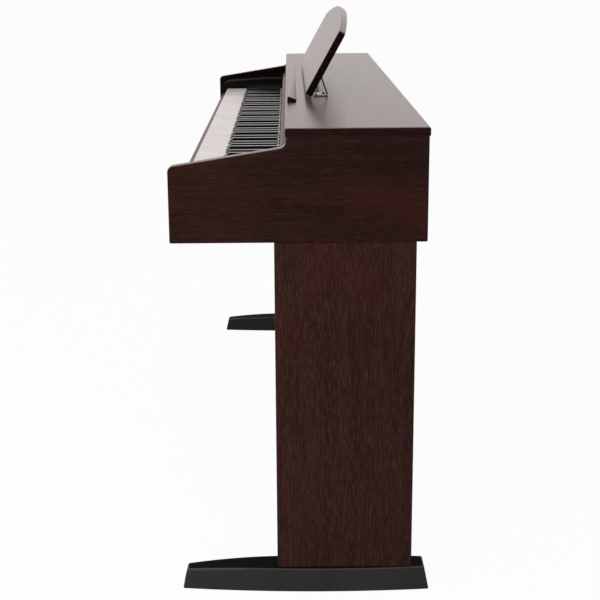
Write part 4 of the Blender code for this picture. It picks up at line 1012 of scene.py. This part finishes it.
def pedal_trim(name, centre):
    """A moulded frame round the pedal's slot in the front of the pedal box."""
    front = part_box("pedal_box")[0].y
    left, right = centre - TRIM_HALF, centre + TRIM_HALF
    outline = rounded([(left, TRIM_BOTTOM, TRIM_RADIUS), (right, TRIM_BOTTOM, TRIM_RADIUS),
                       (right, TRIM_TOP, TRIM_RADIUS), (left, TRIM_TOP, TRIM_RADIUS)], 4)
    form = bmesh.new()
    raise_outline(form, outline, "Y", front - TRIM_THICKNESS, front - 0.0001)
    faces = [face for face in form.faces if abs(face.normal.y) > 0.9]
    bmesh.ops.inset_individual(form, faces=faces, thickness=TRIM_BORDER, depth=0.0)
    holes = [face for face in form.faces if abs(face.normal.y) > 0.9 and len(face.verts) > 8]
    rims = [edge for face in holes for edge in face.edges]
    bmesh.ops.delete(form, geom=holes, context="FACES_ONLY")
    bmesh.ops.bridge_loops(form, edges=rims)
    piece("pedal_trim_" + name, form, LOOKS["case"], "cabinet", (), 40.0)


def adjuster():
    """A foot that screws down to the floor under the pedal box: a round base and a threaded stem."""
    low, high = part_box("pedal_adjuster")
    centre = ((low.x + high.x) / 2, (low.y + high.y) / 2, 0.0)
    radius = (high.x - low.x) / 2
    profile = [(0.0, 0.0), (radius - 0.001, 0.0), (radius, 0.001), (radius, 0.006), (radius - 0.002, 0.008),
               (THREAD_RADIUS + 0.0005, 0.009)]
    height = 0.010
    while height < high.z - THREAD_PITCH:
        profile += [(THREAD_RADIUS - THREAD_DEPTH, height), (THREAD_RADIUS, height + THREAD_PITCH / 2)]
        height += THREAD_PITCH
    profile += [(THREAD_RADIUS - THREAD_DEPTH, high.z - 0.0005), (0.0, high.z)]
    form = bmesh.new()
    turn(form, profile, centre, "Z", 28)
    piece("adjuster_screw", form, LOOKS["case"], "adjuster", ["pedal_adjuster"], 40.0)


# Electronics
def speakers():
    for end, side in ENDS:
        low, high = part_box("speaker_" + end)
        centre = ((low.x + high.x) / 2, (low.y + high.y) / 2, low.z)
        radius = (high.x - low.x) / 2
        tall = high.z - low.z
        form = bmesh.new()
        turn(form, [(radius - 0.007, 0.0), (radius, 0.0), (radius, 0.003), (radius - 0.004, 0.005),
                    (0.031, 0.020), (0.031, 0.024), (0.027, 0.024), (0.027, tall), (0.0, tall), (0.0, 0.020),
                    (0.010, 0.018), (radius - 0.009, 0.003), (radius - 0.007, 0.0)], centre, "Z", 40)
        piece("speaker_basket_" + end, form, LOOKS["black_metal"], "cabinet",
              ["speaker_" + end], 40.0)
        form = bmesh.new()
        turn(form, [(0.0, 0.0105), (0.006, 0.0095), (0.012, 0.0125), (radius - 0.014, 0.0026),
                    (radius - 0.012, 0.0012), (radius - 0.010, 0.0012), (radius - 0.008, 0.0028),
                    (radius - 0.0085, 0.0036), (0.012, 0.0140), (0.0, 0.0140)], centre, "Z", 40)
        piece("speaker_cone_" + end, form, LOOKS["cone"], "cabinet", (), 40.0)


CHIPS = (((-0.060, 0.010), (0.024, 0.024, 0.0022)), ((-0.015, 0.012), (0.014, 0.020, 0.0020)),
         ((0.020, -0.015), (0.012, 0.012, 0.0018)), ((-0.050, -0.024), (0.010, 0.006, 0.0016)),
         ((0.045, 0.018), (0.018, 0.010, 0.0060)), ((0.078, -0.020), (0.022, 0.016, 0.0100)))


def main_board():
    """Chips, capacitors and plugs that stand on the circuit board."""
    low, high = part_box("main_board")
    centre = Vector(((low.x + high.x) / 2, (low.y + high.y) / 2, high.z))
    chips = bmesh.new()
    for (across, along), (wide, deep, tall) in CHIPS:
        start = centre + Vector((across - wide / 2, along - deep / 2, 0.0))
        cube(chips, start, start + Vector((wide, deep, tall)))
    round_off(chips, list(chips.edges), 0.0003, 1)
    piece("board_chips", chips, LOOKS["case"], "cabinet", (), 40.0)
    cans = bmesh.new()
    for index in range(6):
        place = (low.x + 0.030 + index * 0.014, high.y - 0.014, high.z)
        turn(cans, [(0.0, 0.0), (0.0040, 0.0), (0.0040, 0.0095), (0.0034, 0.0105), (0.0, 0.0103)], place,
             "Z", 18)
    piece("board_capacitors", cans, LOOKS["steel"], "cabinet", (), 40.0)
    plugs = bmesh.new()
    for index in range(5):
        start = Vector((high.x - 0.100 + index * 0.019, low.y + 0.006, high.z))
        cube(plugs, start, start + Vector((0.014, 0.006, 0.007)))
    round_off(plugs, list(plugs.edges), 0.0004, 1)
    piece("board_plugs", plugs, LOOKS["white"], "cabinet", (), 40.0)


def jack_rings():
    """Collars round the two headphone sockets in front and the three sockets behind."""
    low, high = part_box("headphone_box")
    form = bmesh.new()
    for index in range(2):
        across = (low.x + high.x) / 2 + (index - 0.5) * 0.036
        ring(form, (across, low.y, (low.z + high.z) / 2), "Y")
    piece("headphone_rings", form, LOOKS["steel"], "cabinet", (), 40.0)
    low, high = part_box("connector_panel")
    form = bmesh.new()
    for index in range(3):
        across = (low.x + high.x) / 2 + (index - 1.5) * 0.027
        ring(form, (across, high.y, (low.z + high.z) / 2), "-Y", 0.0046 if index == 0 else 0.0034)
    piece("connector_rings", form, LOOKS["steel"], "cabinet", (), 40.0)


def ring(form, place, axis, hole=0.0034):
    """A metal collar round a socket, standing out of a face."""
    turn(form, [(hole, 0.0001), (hole + 0.0022, 0.0001), (hole + 0.0022, 0.0008), (hole + 0.0016, 0.0014),
                (hole + 0.0004, 0.0014), (hole, 0.0010), (hole, 0.0001)], place, axis, 28)


def controls():
    """The volume knob with its pointer, and the power button, in the treble key block's pocket."""
    low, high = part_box("volume_knob")
    centre = ((low.x + high.x) / 2, (low.y + high.y) / 2, low.z)
    radius, tall = (high.x - low.x) / 2, high.z - low.z
    form = bmesh.new()
    turn(form, [(0.0, 0.0), (radius, 0.0), (radius, 0.0012), (radius - 0.0008, 0.0018),
                (radius - 0.0014, tall - 0.0015), (radius - 0.0024, tall - 0.0003),
                (radius - 0.004, tall - 0.0006), (0.0, tall - 0.0008)], centre, "Z", 48)
    piece("volume_cap", form, LOOKS["case"], "volume", ["volume_knob"], 40.0)
    form = bmesh.new()
    start = Vector((centre[0] - 0.0004, centre[1] + 0.0020, high.z - 0.0009))
    cube(form, start, start + Vector((0.0008, 0.0048, 0.0006)))
    round_off(form, list(form.edges), 0.0001, 1)
    piece("volume_pointer", form, LOOKS["white"], "volume", (), 40.0)
    low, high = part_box("power_button")
    form = bmesh.new()
    cube(form, low, high)
    round_off(form, upright_edges(form), 0.0018, 4)
    form.normal_update()
    round_off(form, [edge for edge in sharp_edges(form) if min(v.co.z for v in edge.verts) > high.z - 0.0001],
              0.0006, 2)
    piece("power_cap", form, LOOKS["grey"], "power", ["power_button"], 40.0)


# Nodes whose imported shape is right
KEPT_NODES = {"key_bed": ("top_wood_painted_sheen", 0.0008), "rear_panel": ("board", 0.0008),
              "back_board": ("board", 0.0010), "key_frame": ("grey", 0.0006),
              "pedal_box": ("top_wood_painted_sheen", 0.0010), "main_board": ("green", 0.0002),
              "connector_panel": ("case", 0.0004), "headphone_box": ("case", 0.0006)}


def dressed_nodes():
    for node, (look, radius) in KEPT_NODES.items():
        shown = NODES[node]
        shown.data.materials.clear()
        shown.data.materials.append(LOOKS[look])
        weld = shown.modifiers.new("joined", "WELD")
        weld.merge_threshold = 0.00001
        soft = shown.modifiers.new("soft_edges", "BEVEL")
        soft.width = radius
        soft.segments = 2
        soft.limit_method = "ANGLE"
        soft.angle_limit = math.radians(50)


def rear_screws():
    """Screw heads round the rear panel and the back board."""
    low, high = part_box("rear_panel")
    form = bmesh.new()
    for index in range(9):
        across = low.x + 0.03 + index * (high.x - low.x - 0.06) / 8
        for up in (low.z + 0.010, high.z - 0.010):
            screw_head(form, (across, high.y + 0.0002, up), 0.0036, "-Y")
    low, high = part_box("back_board")
    for index in range(7):
        across = low.x + 0.04 + index * (high.x - low.x - 0.08) / 6
        screw_head(form, (across, high.y + 0.0002, high.z - 0.015), 0.0036, "-Y")
    piece("rear_screws", form, LOOKS["steel"], "cabinet", (), 40.0)


# Studio
def shown_white(tree, path):
    """1 where the backdrop is looked at, straight or in a reflection, and 0 where it lights the object."""
    mirrored = arithmetic(tree, "MAXIMUM", path.outputs["Is Glossy Ray"], path.outputs["Is Transmission Ray"])
    return arithmetic(tree, "MAXIMUM", path.outputs["Is Camera Ray"], mirrored)


def shown_colour(tree, path):
    """White to the camera and a little warm in reflections, as in the photograph."""
    return mix_colours(tree, path.outputs["Is Camera Ray"], (1.0, 0.955, 0.94, 1), (1, 1, 1, 1))


def floor():
    form = bmesh.new()
    bmesh.ops.create_grid(form, x_segments=1, y_segments=1, size=30.0)
    mesh = bpy.data.meshes.new("studio_floor")
    form.to_mesh(mesh)
    form.free()
    made = bpy.data.objects.new("studio_floor", mesh)
    bpy.context.scene.collection.objects.link(made)
    look = bpy.data.materials.new("studio_floor")
    look.use_nodes = True
    tree = look.node_tree
    tree.nodes.clear()
    path = add_node(tree, "LightPath")
    matte = add_node(tree, "BsdfDiffuse", {"Color": (0.88, 0.88, 0.87, 1)})
    paper = add_node(tree, "Emission", {"Color": shown_colour(tree, path), "Strength": 1.0})
    share = arithmetic(tree, "MULTIPLY", shown_white(tree, path), 0.96)
    mixed = add_node(tree, "MixShader", {0: share, 1: matte.outputs[0], 2: paper.outputs[0]})
    add_node(tree, "OutputMaterial", {"Surface": mixed.outputs[0]})
    mesh.materials.append(look)


def world():
    made = bpy.data.worlds.new("studio")
    bpy.context.scene.world = made
    made.use_nodes = True
    tree = made.node_tree
    tree.nodes.clear()
    path = add_node(tree, "LightPath")
    room = add_node(tree, "Background", {"Color": (1, 1, 1, 1), "Strength": 0.23})
    paper = add_node(tree, "Background", {"Color": shown_colour(tree, path), "Strength": 1.0})
    mixed = add_node(tree, "MixShader", {0: shown_white(tree, path), 1: room.outputs[0], 2: paper.outputs[0]})
    add_node(tree, "OutputWorld", {"Surface": mixed.outputs[0]})


def lamp(name, place, aim, size, power, mirrored=True):
    """A soft rectangular lamp; one that isn't mirrored leaves no glare on the polished wood."""
    light = bpy.data.lights.new(name, "AREA")
    light.shape = "RECTANGLE"
    light.size, light.size_y = size
    light.energy = power
    made = bpy.data.objects.new(name, light)
    made.location = place
    made.rotation_euler = (Vector(aim) - Vector(place)).to_track_quat("-Z", "Y").to_euler()
    made.visible_glossy = mirrored
    bpy.context.scene.collection.objects.link(made)


def camera():
    eye = bpy.data.cameras.new("photo_camera")
    eye.sensor_width = SENSOR_WIDTH
    eye.lens = FOCAL_PIXELS / FRAME_PIXELS * SENSOR_WIDTH
    eye.shift_x = (FRAME_PIXELS / 2 - CENTRE_PIXEL[0]) / FRAME_PIXELS
    eye.shift_y = -(FRAME_PIXELS / 2 - CENTRE_PIXEL[1]) / FRAME_PIXELS
    level = math.cos(CAMERA_DOWN)
    ahead = Vector((-math.cos(CAMERA_TURN) * level, math.sin(CAMERA_TURN) * level, -math.sin(CAMERA_DOWN)))
    across = Vector((math.sin(CAMERA_TURN), math.cos(CAMERA_TURN), 0.0))
    up = across.cross(ahead)
    right = across * math.cos(CAMERA_ROLL) + up * math.sin(CAMERA_ROLL)
    above = up * math.cos(CAMERA_ROLL) - across * math.sin(CAMERA_ROLL)
    turned = Matrix((right, above, -ahead)).transposed().to_4x4()
    made = bpy.data.objects.new("photo_camera", eye)
    made.matrix_world = Matrix.Translation(CAMERA_PLACE) @ turned
    bpy.context.scene.collection.objects.link(made)
    bpy.context.scene.camera = made


def studio():
    camera()
    floor()
    world()
    lamp("overhead_softbox", (-0.3, -0.6, 3.4), (-0.3, 0.0, 0.5), (3.4, 2.6), 30.0)
    lamp("treble_softbox", (2.3, -0.7, 0.9), (0.6, 0.0, 0.35), (1.6, 1.3), 28.0, mirrored=False)
    scene = bpy.context.scene
    scene.view_settings.view_transform = "Standard"


lid()
cheeks()
slip()
key_blocks()
name_rail()
cover()
keyboard()
key_felts()
music_desk()
desk_brackets()
hinge()
prop_parts()
ledge()
legs()
feet()
pedals()
adjuster()
speakers()
main_board()
jack_rings()
controls()
dressed_nodes()
rear_screws()
studio()
